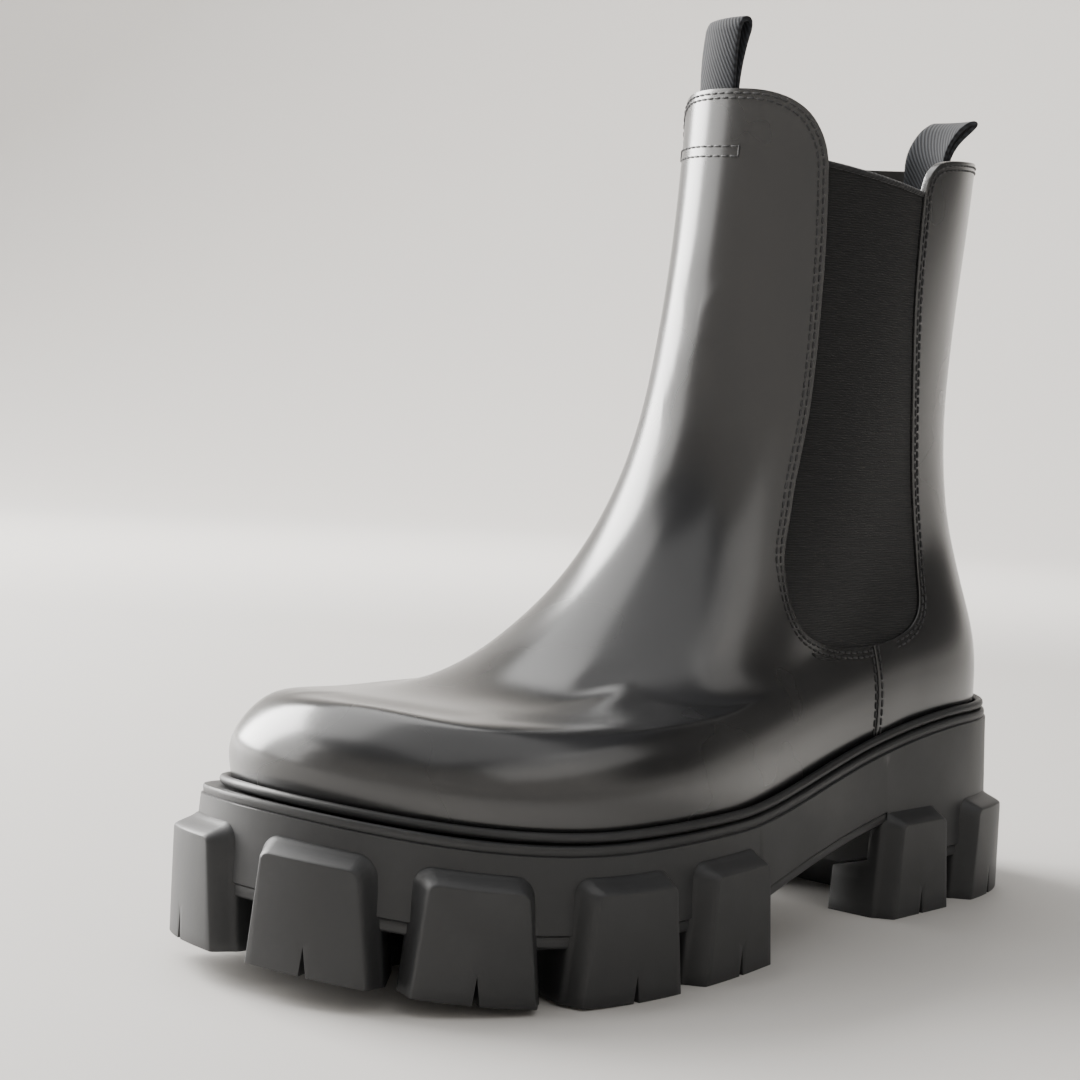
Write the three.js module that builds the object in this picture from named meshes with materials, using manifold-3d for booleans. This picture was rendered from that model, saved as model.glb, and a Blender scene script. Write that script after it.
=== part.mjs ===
// A left platform boot: a smooth pull-on upper with elastic gores, on a moulded sole with side lugs.
// Millimetres. X runs from heel to toe, Y to the outer side of the foot, Z up from the ground.
import * as THREE from "three";
import { mergeVertices } from "three/addons/utils/BufferGeometryUtils.js";
import Module from "manifold-3d";

const wasm = await Module();
wasm.setup();

// Driving dimensions
const SOLE_LENGTH = 300; // wall of the sole, without its lugs
const BALL_WIDTH = 124; // wall of the sole at the ball of the foot
const FOREFOOT_HEIGHT = 40; // ground to the lip of the wall, under the ball
const HEEL_HEIGHT = 59; // ground to the lip of the wall, at the heel
const TOE_SPRING = 9; // how far the tip of the toe curves up
const TREAD_DEPTH = 14; // ground to the lower edge of the wall
const ARCH_HEIGHT = 29; // ground to the lower edge of the wall, at the breast of the heel
const BREAST = 0.292 * SOLE_LENGTH; // back of the sole to the front of the heel
const ARCH_FRONT = 0.545 * SOLE_LENGTH; // back of the sole to the front end of the arch
const WALL_FLARE = 1.6; // how far the wall leans out from its lip to its foot
const WALL_EDGE = 0.8; // soft edge along the wall's foot and lip
const STEP_DEPTH = 0.5; // set-back of the bands along the wall's upper and lower edge
const TOP_BAND = 2.8; // height of the upper band
const FOOT_BAND = 3.4; // height of the lower band
const LUG_PROUD = 6.8; // how far a side lug stands out from the wall
const LUG_HEIGHT = 32; // ground to the top of a side lug
const LUG_SHOULDER = 3.2; // height of the sloping top of a lug
const LUG_REACH = 15; // how far a lug runs in under the sole
const LUG_TAPER = 0.76; // width of a lug at its top, as a share of its width at the ground
const LUG_FACET = 2.6; // how much wider a lug is where it meets the wall
const NOTCH_HEIGHT = 8; // wedge cut up into the foot of a lug
const NOTCH_WIDTH = 2.2;
const LUG_DRAFT = 0.5; // how much further its face stands out at the ground than at its shoulder
const BAR_WIDTH = 11; // tread bars under the middle of the sole
const LEDGE = 4.9; // from the edge of the lip in to the foot of the upper
const RAND_THICKNESS = 2.8;
const INSOLE_THICKNESS = 4;
const UPPER_WALL = 2.4;
const FRONT_RISE = 206; // lip to the top of the front piece
const BACK_RISE = 0.922 * FRONT_RISE; // lip to the top of the back piece
const COLLAR_LENGTH = 119;
const COLLAR_WIDTH = 76;
const GORE_WALL = 1.4;
const GORE_RECESS = 0.9; // how far the elastic lies under the face of the leather
const SEAM_WIDTH = 7;
const SEAM_PROUD = 0.8;
const TAPE_WIDTH = 16;
const TAPE_THICKNESS = 1.5;
const TAPE_TUCK = 17; // how far a pull loop runs down inside the collar
const FRONT_LOOP_RISE = 23;
const FRONT_LOOP_ASIDE = -4.5; // how far its middle lies to the inner side
const FRONT_LOOP_LEAN = -4;
const BACK_LOOP_RISE = 18;
const BACK_LOOP_LEAN = -17; // its top hangs over to the back
const LOOP_OPEN = 1.8; // half the width of the opening in a pull loop
const CLEARANCE = 0.3; // between pieces that meet

// Steps of the faceted surfaces
const AROUND = 52;
const UP = 20;
const WALL_STEPS = 80;

// Outline of the wall from above: corners of a smooth closed curve, from the back of the heel along
// the outer side to the toe and back along the inner side. along: share of SOLE_LENGTH; across:
// share of BALL_WIDTH.
const OUTLINE = [
  { along: -0.004, across: 0.0 },
  { along: 0.009, across: 0.191 },
  { along: 0.069, across: 0.33 },
  { along: 0.181, across: 0.373 },
  { along: 0.324, across: 0.373 },
  { along: 0.468, across: 0.434 },
  { along: 0.611, across: 0.521 },
  { along: 0.754, across: 0.547 },
  { along: 0.872, across: 0.477 },
  { along: 0.962, across: 0.313 },
  { along: 1.013, across: 0.052 },
  { along: 0.987, across: -0.226 },
  { along: 0.911, across: -0.391 },
  { along: 0.77, across: -0.486 },
  { along: 0.627, across: -0.477 },
  { along: 0.477, across: -0.382 },
  { along: 0.324, across: -0.321 },
  { along: 0.181, across: -0.339 },
  { along: 0.069, across: -0.304 },
  { along: 0.009, across: -0.191 },
];

// Side lugs. at: share of the way round the outline, from the back of the heel along the outer side;
// wide: share of BALL_WIDTH.
const LUGS = [
  { at: 0.0, wide: 0.22 },
  { at: 0.077, wide: 0.22 },
  { at: 0.138, wide: 0.25 },
  { at: 0.292, wide: 0.28 },
  { at: 0.353, wide: 0.27 },
  { at: 0.414, wide: 0.245 },
  { at: 0.47, wide: 0.25 },
  { at: 0.53, wide: 0.27 },
  { at: 0.592, wide: 0.245 },
  { at: 0.653, wide: 0.27 },
  { at: 0.714, wide: 0.28 },
  { at: 0.863, wide: 0.25 },
  { at: 0.924, wide: 0.22 },
];

// Tread bars under the middle. along: share of SOLE_LENGTH; half: half their length across, as a
// share of BALL_WIDTH.
const BARS = [
  { along: 0.1, half: 0.1 },
  { along: 0.2, half: 0.13 },
  { along: 0.6, half: 0.15 },
  { along: 0.69, half: 0.18 },
  { along: 0.78, half: 0.18 },
  { along: 0.87, half: 0.13 },
];

// Sections of the upper, from its foot to its collar. back: where a section starts at the back, a
// share of SOLE_LENGTH. foot, leg: its length, as shares of the foot's length and of COLLAR_LENGTH
// added together. wide, oval: the same for its width, with the foot's width and COLLAR_WIDTH. front,
// rear: its height over the lip, shares of FRONT_RISE and BACK_RISE. dip: how far its sides hang
// below the straight line between them, a share of FRONT_RISE.
const SECTIONS = [
  { back: 0, foot: 1, leg: 0, wide: 1, oval: 0, front: 0, rear: 0, dip: 0 },
  { back: 0.001, foot: 1.006, leg: 0, wide: 1.012, oval: 0, front: 0.035, rear: 0.045, dip: 0 },
  { back: 0.003, foot: 1.003, leg: 0, wide: 1, oval: 0.01, front: 0.07, rear: 0.105, dip: 0 },
  { back: 0.01, foot: 0.96, leg: 0.015, wide: 0.9, oval: 0.07, front: 0.125, rear: 0.165, dip: 0.015 },
  { back: 0.02, foot: 0.905, leg: 0.035, wide: 0.77, oval: 0.16, front: 0.148, rear: 0.225, dip: 0.035 },
  { back: 0.031, foot: 0.77, leg: 0.09, wide: 0.63, oval: 0.27, front: 0.144, rear: 0.285, dip: 0.05 },
  { back: 0.041, foot: 0.64, leg: 0.17, wide: 0.5, oval: 0.37, front: 0.163, rear: 0.345, dip: 0.06 },
  { back: 0.048, foot: 0.505, leg: 0.28, wide: 0.38, oval: 0.48, front: 0.218, rear: 0.405, dip: 0.055 },
  { back: 0.052, foot: 0.37, leg: 0.4, wide: 0.27, oval: 0.58, front: 0.3, rear: 0.465, dip: 0.042 },
  { back: 0.053, foot: 0.262, leg: 0.515, wide: 0.18, oval: 0.67, front: 0.395, rear: 0.53, dip: 0.028 },
  { back: 0.05, foot: 0.178, leg: 0.632, wide: 0.11, oval: 0.76, front: 0.503, rear: 0.6, dip: 0.015 },
  { back: 0.045, foot: 0.113, leg: 0.755, wide: 0.06, oval: 0.84, front: 0.62, rear: 0.68, dip: 0.005 },
  { back: 0.038, foot: 0.06, leg: 0.862, wide: 0.02, oval: 0.92, front: 0.745, rear: 0.775, dip: 0 },
  { back: 0.031, foot: 0.02, leg: 0.95, wide: 0, oval: 0.98, front: 0.875, rear: 0.885, dip: 0 },
  { back: 0.026, foot: 0, leg: 0.995, wide: 0, oval: 1, front: 1.03, rear: 1.03, dip: 0 },
];

// Collar line from the side. along: share of COLLAR_LENGTH from its back; up: share of FRONT_RISE.
const COLLAR_LINE = [
  { along: -0.3, up: 0.94 },
  { along: 0.1, up: 0.94 },
  { along: 0.3, up: 0.933 },
  { along: 0.41, up: 0.925 },
  { along: 0.46, up: 0.916 },
  { along: 0.492, up: 0.899 },
  { along: 0.508, up: 0.873 },
  { along: 0.84, up: 0.9 },
  { along: 0.86, up: 0.935 },
  { along: 0.89, up: 0.965 },
  { along: 0.94, up: 0.99 },
  { along: 1.0, up: 1.0 },
  { along: 1.4, up: 1.0 },
];

// Gore cut-out from the side, from the top of its front edge down round its foot and up its rear
// edge. along: share of COLLAR_LENGTH from the collar's back; up: share of FRONT_RISE.
const GORE = [
  { along: 0.84, up: 1.1 },
  { along: 0.84, up: 0.95 },
  { along: 0.84, up: 0.75 },
  { along: 0.875, up: 0.55 },
  { along: 0.95, up: 0.4 },
  { along: 1.0, up: 0.3 },
  { along: 0.95, up: 0.215 },
  { along: 0.72, up: 0.185 },
  { along: 0.46, up: 0.215 },
  { along: 0.39, up: 0.3 },
  { along: 0.43, up: 0.48 },
  { along: 0.5, up: 0.72 },
  { along: 0.51, up: 0.95 },
  { along: 0.51, up: 1.1 },
];

// Where the side seam meets the foot of the gore, in the same shares.
const SEAM_TOP = { along: 0.62, up: 0.19 };

// Small helpers
const mix = (a, b, t) => a + (b - a) * t;
const clamp = (v) => Math.min(1, Math.max(0, v));
const smooth = (a, b, v) => {
  const t = clamp((v - a) / (b - a));
  return t * t * (3 - 2 * t);
};

// The four weights of a smooth curve at t between its second and third corner.
function weights(t) {
  const s = 1 - t;
  return [s ** 3 / 6, (3 * t ** 3 - 6 * t ** 2 + 4) / 6, (3 * s ** 3 - 6 * s ** 2 + 4) / 6, t ** 3 / 6];
}

// A point of the smooth closed curve through rows of numbers, at share s of its corners.
function closedCurve(corners, s) {
  const n = corners.length;
  const at = ((s % 1) + 1) % 1 * n;
  const first = Math.floor(at);
  const w = weights(at - first);
  return corners[0].map((_, k) =>
    w.reduce((sum, weight, j) => sum + weight * corners[(first + j - 1 + n) % n][k], 0),
  );
}

// Height of the ground under the toe spring, and of the lip of the wall, at x.
const spring = (x) => TOE_SPRING * clamp((x / SOLE_LENGTH - 0.74) / 0.26) ** 2;
const lip = (x) =>
  mix(HEEL_HEIGHT, FOREFOOT_HEIGHT, smooth(0.12, 0.58, x / SOLE_LENGTH)) + spring(x);

const WALL_CORNERS = OUTLINE.map((c) => [c.along * SOLE_LENGTH, c.across * BALL_WIDTH]);

// Corners of the wall moved in by a distance, square to the line between their neighbours.
function insetCorners(distance) {
  return WALL_CORNERS.map(([x, y], i) => {
    const [ax, ay] = WALL_CORNERS.at(i - 1);
    const [bx, by] = WALL_CORNERS[(i + 1) % WALL_CORNERS.length];
    const long = Math.hypot(bx - ax, by - ay);
    return [x + ((by - ay) / long) * distance, y - ((bx - ax) / long) * distance];
  });
}

// Lengths along the wall, for even steps round it.
const FINE = 800;
const fine = Array.from({ length: FINE + 1 }, (_, i) => closedCurve(WALL_CORNERS, i / FINE));
const travelled = [0];
for (let i = 1; i <= FINE; i++) {
  const step = Math.hypot(fine[i][0] - fine[i - 1][0], fine[i][1] - fine[i - 1][1]);
  travelled.push(travelled[i - 1] + step);
}
const GIRTH = travelled[FINE];

// A point of the wall at a share of the way round, moved out by a distance.
function wallPoint(share, out) {
  const goal = (((share % 1) + 1) % 1) * GIRTH;
  let i = 1;
  while (travelled[i] < goal && i < FINE) i++;
  const t = (goal - travelled[i - 1]) / (travelled[i] - travelled[i - 1]);
  const x = mix(fine[i - 1][0], fine[i][0], t);
  const y = mix(fine[i - 1][1], fine[i][1], t);
  const before = fine[(i - 3 + FINE) % FINE];
  const after = fine[(i + 2) % FINE];
  const long = Math.hypot(after[0] - before[0], after[1] - before[1]);
  const nx = -(after[1] - before[1]) / long;
  const ny = (after[0] - before[0]) / long;
  return [x + nx * out, y + ny * out];
}

// Solids and meshes
function solidOf(geometry) {
  geometry.deleteAttribute("normal");
  geometry.deleteAttribute("uv");
  const merged = mergeVertices(geometry, 1e-4);
  return new wasm.Manifold(
    new wasm.Mesh({
      numProp: 3,
      vertProperties: merged.attributes.position.array,
      triVerts: new Uint32Array(merged.index.array),
    }),
  );
}

function solid(points, triangles) {
  const geometry = new THREE.BufferGeometry();
  geometry.setAttribute("position", new THREE.Float32BufferAttribute(points.flat(), 3));
  geometry.setIndex(triangles.flat());
  return solidOf(geometry);
}

function meshOf(name, manifold, material) {
  const data = manifold.getMesh();
  const geometry = new THREE.BufferGeometry();
  geometry.setAttribute("position", new THREE.BufferAttribute(data.vertProperties, 3));
  geometry.setIndex(new THREE.BufferAttribute(data.triVerts, 1));
  geometry.computeVertexNormals();
  const mesh = new THREE.Mesh(geometry, material);
  mesh.name = name;
  return mesh;
}

// Triangles between closed rows of points that lie one over the other, rows going up and each row
// going round as the outline does.
function skin(rows, count, first = 0) {
  const triangles = [];
  for (let j = 0; j + 1 < rows; j++)
    for (let i = 0; i < count; i++) {
      const a = first + j * count + i;
      const b = first + j * count + ((i + 1) % count);
      triangles.push([a, a + count, b], [b, a + count, b + count]);
    }
  return triangles;
}

// Triangles across a closed row, laddered from its outer side to its inner side.
function ladder(first, count, up) {
  const triangles = [];
  for (let i = 0; i < count / 2; i++) {
    const a = first + i;
    const b = first + i + 1;
    const c = first + ((count - i - 1 + count) % count);
    const d = first + ((count - i) % count);
    if (i > 0) triangles.push(up ? [a, c, d].reverse() : [a, c, d]);
    if (i + 1 < count / 2) triangles.push(up ? [a, b, c].reverse() : [a, b, c]);
  }
  return triangles;
}

// A block of an outline drawn in the side view, from one y to another.
function sideBlock(outline, from, to, steps) {
  const shape = new THREE.Shape(outline.map(([x, z]) => new THREE.Vector2(x, z)));
  const block = new THREE.ExtrudeGeometry(shape, { depth: to - from, bevelEnabled: false, steps });
  block.rotateX(Math.PI / 2);
  block.translate(0, to, 0);
  return block;
}
const sidePrism = (outline, from, to) => solidOf(sideBlock(outline, from, to, 1));

// A solid whose closed rows are joined in turn, with a ladder over each end.
function stacked(rows) {
  const count = rows[0].length;
  return solid(rows.flat(), [
    ...skin(rows.length, count),
    ...ladder(0, count, false),
    ...ladder((rows.length - 1) * count, count, true),
  ]);
}

// Sole unit
const footOf = (x) => TREAD_DEPTH + spring(x);

// Shares of the way round where the wall passes even stations along the sole, closer at both ends:
// the outer side from heel to toe, then the inner side back, so that each pair faces straight across.
const TOE = travelled[fine.reduce((best, p, i) => (p[0] > fine[best][0] ? i : best), 0)] / GIRTH;
function shareAt(x, from, to) {
  let [low, high] = [from, to];
  for (let turn = 0; turn < 40; turn++) {
    const middle = (low + high) / 2;
    if (wallPoint(middle, 0)[0] < x) low = middle;
    else high = middle;
  }
  return low;
}
const HEEL_END = wallPoint(0, 0)[0];
const TOE_END = wallPoint(TOE, 0)[0];
const STATIONS = Array.from({ length: WALL_STEPS }, (_, i) => {
  if (i === 0) return 0;
  if (i === WALL_STEPS / 2) return TOE;
  const x = mix(HEEL_END, TOE_END, (1 - Math.cos((2 * Math.PI * i) / WALL_STEPS)) / 2);
  return i < WALL_STEPS / 2 ? shareAt(x, 0, TOE) : shareAt(x, 1, TOE);
});

function wallRow(out, level) {
  return STATIONS.map((share) => {
    const [x, y] = wallPoint(share, out);
    return [x, y, level(x)];
  });
}

function soleBody() {
  const edge = WALL_EDGE;
  const band = WALL_FLARE - STEP_DEPTH;
  return stacked([
    wallRow(band - edge, (x) => footOf(x)),
    wallRow(band, (x) => footOf(x) + edge),
    wallRow(band, (x) => footOf(x) + FOOT_BAND - STEP_DEPTH),
    wallRow(WALL_FLARE, (x) => footOf(x) + FOOT_BAND),
    wallRow(0, (x) => lip(x) - TOP_BAND),
    wallRow(-STEP_DEPTH, (x) => lip(x) - TOP_BAND + STEP_DEPTH / 2),
    wallRow(-STEP_DEPTH - edge / 2, (x) => lip(x) - edge),
    wallRow(-STEP_DEPTH - 2 * edge, (x) => lip(x)),
  ]);
}

// A lug: a profile in the plane square to the wall, stepped across and narrower at its top.
function lug({ at, wide }) {
  const half = (wide * BALL_WIDTH) / 2;
  const sunk = 3;
  const profile = [
    [-LUG_REACH, 0],
    [LUG_PROUD, 0],
    [LUG_PROUD - LUG_DRAFT, LUG_HEIGHT - LUG_SHOULDER],
    [WALL_FLARE, LUG_HEIGHT],
    [-sunk, LUG_HEIGHT],
    [-sunk, TREAD_DEPTH + sunk],
    [-LUG_REACH, TREAD_DEPTH + sunk],
  ];
  const across = 4;
  const points = [];
  for (let k = 0; k <= across; k++)
    for (const [out, z] of profile) {
      const high = z / LUG_HEIGHT;
      const narrowing = mix(1, LUG_TAPER, high);
      const flare = LUG_FACET * clamp(1 - out / LUG_PROUD);
      const aside = ((2 * k) / across - 1) * (half * narrowing + flare);
      const [px, py] = wallPoint(at + aside / GIRTH, out);
      const [onX] = wallPoint(at + aside / GIRTH, 0);
      points.push([px, py, z + spring(onX)]);
    }
  const count = profile.length;
  const triangles = [];
  for (let k = 0; k < across; k++)
    for (let i = 0; i < count; i++) {
      const a = k * count + i;
      const b = k * count + ((i + 1) % count);
      triangles.push([a, b, a + count], [b, b + count, a + count]);
    }
  const flat = profile.map(([u, v]) => new THREE.Vector2(u, v));
  for (const [a, b, c] of THREE.ShapeUtils.triangulateShape(flat, [])) {
    triangles.push([a, c, b]);
    const last = across * count;
    triangles.push([last + a, last + b, last + c]);
  }
  return solid(points, triangles);
}

// The wedge cut up into the foot of a lug, shallower towards its inner end.
function notch({ at }) {
  const [x] = wallPoint(at, 0);
  const points = [];
  const ends = [
    { out: LUG_PROUD + 1, size: 1 },
    { out: -LUG_REACH / 5, size: 0.35 },
  ];
  for (const { out, size } of ends)
    for (const [aside, z] of [[-0.5, -1], [0.5, -1], [0, NOTCH_HEIGHT * size]]) {
      const [px, py] = wallPoint(at + (aside * NOTCH_WIDTH * size) / GIRTH, out);
      points.push([px, py, spring(x) + z]);
    }
  return solid(points, [
    [0, 2, 1], [3, 4, 5], [0, 1, 4], [0, 4, 3], [1, 2, 5], [1, 5, 4], [2, 0, 3], [2, 3, 5],
  ]);
}

function bar({ along, half }) {
  const x = along * SOLE_LENGTH;
  const box = new THREE.BoxGeometry(BAR_WIDTH, 2 * half * BALL_WIDTH, TREAD_DEPTH + 2);
  box.translate(x, 0, spring(x) + TREAD_DEPTH / 2 + 1);
  return solidOf(box);
}

function soleUnit() {
  const arch = sidePrism(
    [[BREAST, -5], [ARCH_FRONT, -5], [ARCH_FRONT, TREAD_DEPTH + 1.5], [BREAST, ARCH_HEIGHT]],
    -BALL_WIDTH,
    BALL_WIDTH,
  );
  let sole = soleBody().subtract(arch);
  for (const row of LUGS) sole = sole.add(lug(row));
  for (const row of LUGS) sole = sole.subtract(notch(row));
  for (const row of BARS) sole = sole.add(bar(row));
  return sole;
}

// Upper
const FOOT_CORNERS = insetCorners(LEDGE);
const FOOT_BACK = FOOT_CORNERS[0][0];
const FOOT_SPAN = FOOT_CORNERS[OUTLINE.length / 2][0] - FOOT_BACK;
const FOOT_FIT = (SOLE_LENGTH - 2 * LEDGE) / FOOT_SPAN;
const OVAL_GROWTH = 3 / (2 + Math.cos((2 * Math.PI) / OUTLINE.length));

// Corners of one section: shares of the foot's form and of the leg's oval added together.
function sectionCorners(row) {
  const count = OUTLINE.length;
  return FOOT_CORNERS.map(([x, y], i) => {
    const turn = (2 * Math.PI * i) / count;
    const footAlong = (x - FOOT_BACK) * row.foot * FOOT_FIT;
    const legAlong = ((1 - Math.cos(turn) * OVAL_GROWTH) / 2) * row.leg * COLLAR_LENGTH;
    const atX = FOOT_BACK + row.back * SOLE_LENGTH + footAlong + legAlong;
    const atY = y * row.wide + Math.sin(turn) * OVAL_GROWTH * row.oval * (COLLAR_WIDTH / 2);
    const share = (1 - Math.cos(turn)) / 2;
    const rise = mix(row.rear * BACK_RISE, row.front * FRONT_RISE, share);
    const dip = row.dip * FRONT_RISE * Math.sin(turn) ** 2;
    return [atX, atY, rise - dip];
  });
}
const RINGS = SECTIONS.map(sectionCorners);

// A point of the upper's outer face: round is a share of the way round, from the back along the
// outer side; high goes from 0 at the foot to 1 at the collar.
function upperFace(round, high) {
  const last = RINGS.length - 1;
  const at = Math.min(clamp(high) * last, last - 1e-9);
  const first = Math.floor(at);
  const w = weights(at - first);
  const on = (j) => closedCurve(RINGS[j], round);
  const beyond = (a, b) => on(a).map((v, k) => 2 * v - on(b)[k]);
  const rows = [
    first > 0 ? on(first - 1) : beyond(0, 1),
    on(first),
    on(first + 1),
    first + 2 <= last ? on(first + 2) : beyond(last, last - 1),
  ];
  const [x, y, rise] = [0, 1, 2].map((k) => rows.reduce((sum, row, j) => sum + w[j] * row[k], 0));
  return [x, y, lip(x) + CLEARANCE + rise];
}

// The same point, moved in from the face by a depth.
function upperPoint(round, high, depth) {
  const p = upperFace(round, high);
  if (depth === 0) return p;
  const d = 1e-3;
  const a = new THREE.Vector3(...upperFace(round + d, high));
  a.sub(new THREE.Vector3(...upperFace(round - d, high)));
  const b = new THREE.Vector3(...upperFace(round, Math.min(1, high + d)));
  b.sub(new THREE.Vector3(...upperFace(round, Math.max(0, high - d))));
  const inward = a.cross(b).normalize();
  return [p[0] + inward.x * depth, p[1] + inward.y * depth, p[2] + inward.z * depth];
}

// The wall between two depths under the outer face, all round and from foot to collar.
function upperShell(outer, inner) {
  const row = (j, depth) =>
    Array.from({ length: AROUND }, (_, i) => upperPoint(i / AROUND, j / UP, depth));
  const rows = [];
  for (let j = 0; j <= UP; j++) rows.push(row(j, outer));
  for (let j = UP; j >= 0; j--) rows.push(row(j, inner));
  const count = AROUND;
  const triangles = skin(rows.length, count);
  for (let i = 0; i < count; i++) {
    const a = (rows.length - 1) * count + i;
    const b = (rows.length - 1) * count + ((i + 1) % count);
    triangles.push([a, i, b], [b, i, (i + 1) % count]);
  }
  return solid(rows.flat(), triangles);
}

const COLLAR_BACK = RINGS.at(-1)[0][0];
const LEG_BASE = lip(COLLAR_BACK + COLLAR_LENGTH);
const sideView = ({ along, up }) => [COLLAR_BACK + along * COLLAR_LENGTH, LEG_BASE + up * FRONT_RISE];

// The gore's outline as a smooth curve through its corners, its straight ends above the collar.
function goreOutline(grow) {
  const corners = GORE.map(sideView);
  const curve = new THREE.SplineCurve(corners.map(([x, z]) => new THREE.Vector2(x, z)));
  return curve.getPoints(40).map((p, i, all) => {
    const a = all[Math.max(0, i - 1)];
    const b = all[Math.min(all.length - 1, i + 1)];
    const long = Math.hypot(b.x - a.x, b.y - a.y);
    return [p.x - ((b.y - a.y) / long) * grow, p.y + ((b.x - a.x) / long) * grow];
  });
}

function goreCut(side, grow) {
  const near = COLLAR_WIDTH / 8;
  const far = BALL_WIDTH;
  return side > 0 ? sidePrism(goreOutline(grow), near, far) : sidePrism(goreOutline(grow), -far, -near);
}

function collarCut() {
  const line = COLLAR_LINE.map(sideView);
  const over = LEG_BASE + 1.5 * FRONT_RISE;
  return sidePrism(
    [...line, [line.at(-1)[0], over], [line[0][0], over]],
    -BALL_WIDTH,
    BALL_WIDTH,
  );
}

// The lap of the back piece: a strip proud of the face, from over the rand to the foot of the gore.
function seam(side) {
  const [x, goreFoot] = sideView(SEAM_TOP);
  const low = lip(x) + RAND_THICKNESS + 4 * CLEARANCE;
  const high = goreFoot + SEAM_WIDTH;
  const near = x - SEAM_WIDTH / 2;
  const away = x + SEAM_WIDTH / 2;
  const band = sidePrism(
    [[near, low], [away, low], [away, high], [near, high]],
    side > 0 ? 0 : -BALL_WIDTH,
    side > 0 ? BALL_WIDTH : 0,
  );
  return upperShell(-SEAM_PROUD, UPPER_WALL / 2).intersect(band);
}

function upper() {
  let shell = upperShell(0, UPPER_WALL);
  for (const side of [1, -1]) shell = shell.add(seam(side));
  shell = shell.subtract(collarCut());
  for (const side of [1, -1]) shell = shell.subtract(goreCut(side, 0));
  return shell;
}

function gore(side) {
  const panel = upperShell(GORE_RECESS, GORE_RECESS + GORE_WALL);
  return panel.intersect(goreCut(side, -CLEARANCE)).subtract(collarCut());
}

// Rand: a round bead on the ledge, against the foot of the upper.
function rand() {
  const sides = 6;
  const radius = RAND_THICKNESS / 2;
  const points = [];
  const middle = radius / (SECTIONS[1].front * FRONT_RISE * (SECTIONS.length - 1));
  for (let i = 0; i < AROUND; i++) {
    const foot = upperPoint(i / AROUND, middle, 0);
    const out = upperPoint(i / AROUND, middle, -1);
    const long = Math.hypot(out[0] - foot[0], out[1] - foot[1]);
    const nx = (out[0] - foot[0]) / long;
    const ny = (out[1] - foot[1]) / long;
    for (let k = 0; k < sides; k++) {
      const turn = (2 * Math.PI * (k + 0.5)) / sides;
      const away = radius + 2 * CLEARANCE + Math.cos(turn) * radius;
      const x = foot[0] + nx * away;
      const level = lip(x) + CLEARANCE + radius + Math.sin(turn) * radius;
      points.push([x, foot[1] + ny * away, level]);
    }
  }
  const triangles = [];
  for (let i = 0; i < AROUND; i++)
    for (let k = 0; k < sides; k++) {
      const a = i * sides + k;
      const b = i * sides + ((k + 1) % sides);
      const c = ((i + 1) % AROUND) * sides + k;
      const d = ((i + 1) % AROUND) * sides + ((k + 1) % sides);
      triangles.push([a, b, c], [b, d, c]);
    }
  return solid(points, triangles);
}

// Insole: a board on the sole, inside the foot of the upper.
function insole() {
  const inside = UPPER_WALL + 2 * CLEARANCE;
  const level = (over) =>
    Array.from({ length: AROUND }, (_, i) => {
      const [x, y] = upperPoint(i / AROUND, 0, inside);
      return [x, y, lip(x) + over];
    });
  return stacked([level(CLEARANCE), level(CLEARANCE + INSOLE_THICKNESS)]);
}

// Pull loop: folded tape in the side view, bowed across its width as the collar is. facing: 1 at the
// front of the collar, -1 at its back.
function pullLoop({ foot, aside, rise, lean, facing }) {
  const bowLong = COLLAR_LENGTH / 2 - UPPER_WALL;
  const bowWide = COLLAR_WIDTH / 2 - UPPER_WALL;
  const fold = 2 * LOOP_OPEN;
  const hole = [
    { up: 0, half: CLEARANCE / 2 },
    { up: rise / 2, half: LOOP_OPEN * 0.8 },
    { up: rise - fold, half: LOOP_OPEN },
    { up: rise - TAPE_THICKNESS - CLEARANCE, half: CLEARANCE },
  ];
  const path = [
    { up: -TAPE_TUCK, half: TAPE_THICKNESS },
    ...hole.slice(0, 3).map(({ up, half }) => ({ up, half: half + TAPE_THICKNESS })),
    { up: rise - fold / 4, half: TAPE_THICKNESS + LOOP_OPEN / 2 },
    { up: rise, half: TAPE_THICKNESS / 2 },
  ];
  const place = (up, half) => [
    foot[0] - facing * half + lean * clamp(up / rise) ** 2,
    foot[1] + up,
  ];
  const ring = (rows) => [
    ...rows.map((r) => place(r.up, r.half)),
    ...rows.toReversed().map((r) => place(r.up, -r.half)),
  ];
  const strip = (outline, wide) => {
    const block = sideBlock(outline, aside - wide / 2, aside + wide / 2, 6);
    const places = block.attributes.position;
    for (let i = 0; i < places.count; i++) {
      const bow = bowLong * (1 - Math.sqrt(1 - (places.getY(i) / bowWide) ** 2));
      places.setX(i, places.getX(i) - facing * bow);
    }
    return solidOf(block);
  };
  return strip(ring(path), TAPE_WIDTH).subtract(strip(ring(hole), TAPE_WIDTH + 2));
}

// Materials and assembly
const LEATHER = new THREE.MeshStandardMaterial({ color: 0x17181a, roughness: 0.22, metalness: 0 });
const RUBBER = new THREE.MeshStandardMaterial({ color: 0x2b2c2d, roughness: 0.62, metalness: 0 });
const ELASTIC = new THREE.MeshStandardMaterial({ color: 0x0c0c0d, roughness: 0.95, metalness: 0 });
const TAPE = new THREE.MeshStandardMaterial({ color: 0x26292e, roughness: 0.9, metalness: 0 });
const BOARD = new THREE.MeshStandardMaterial({ color: 0x1a1a1a, roughness: 0.8, metalness: 0 });

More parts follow.
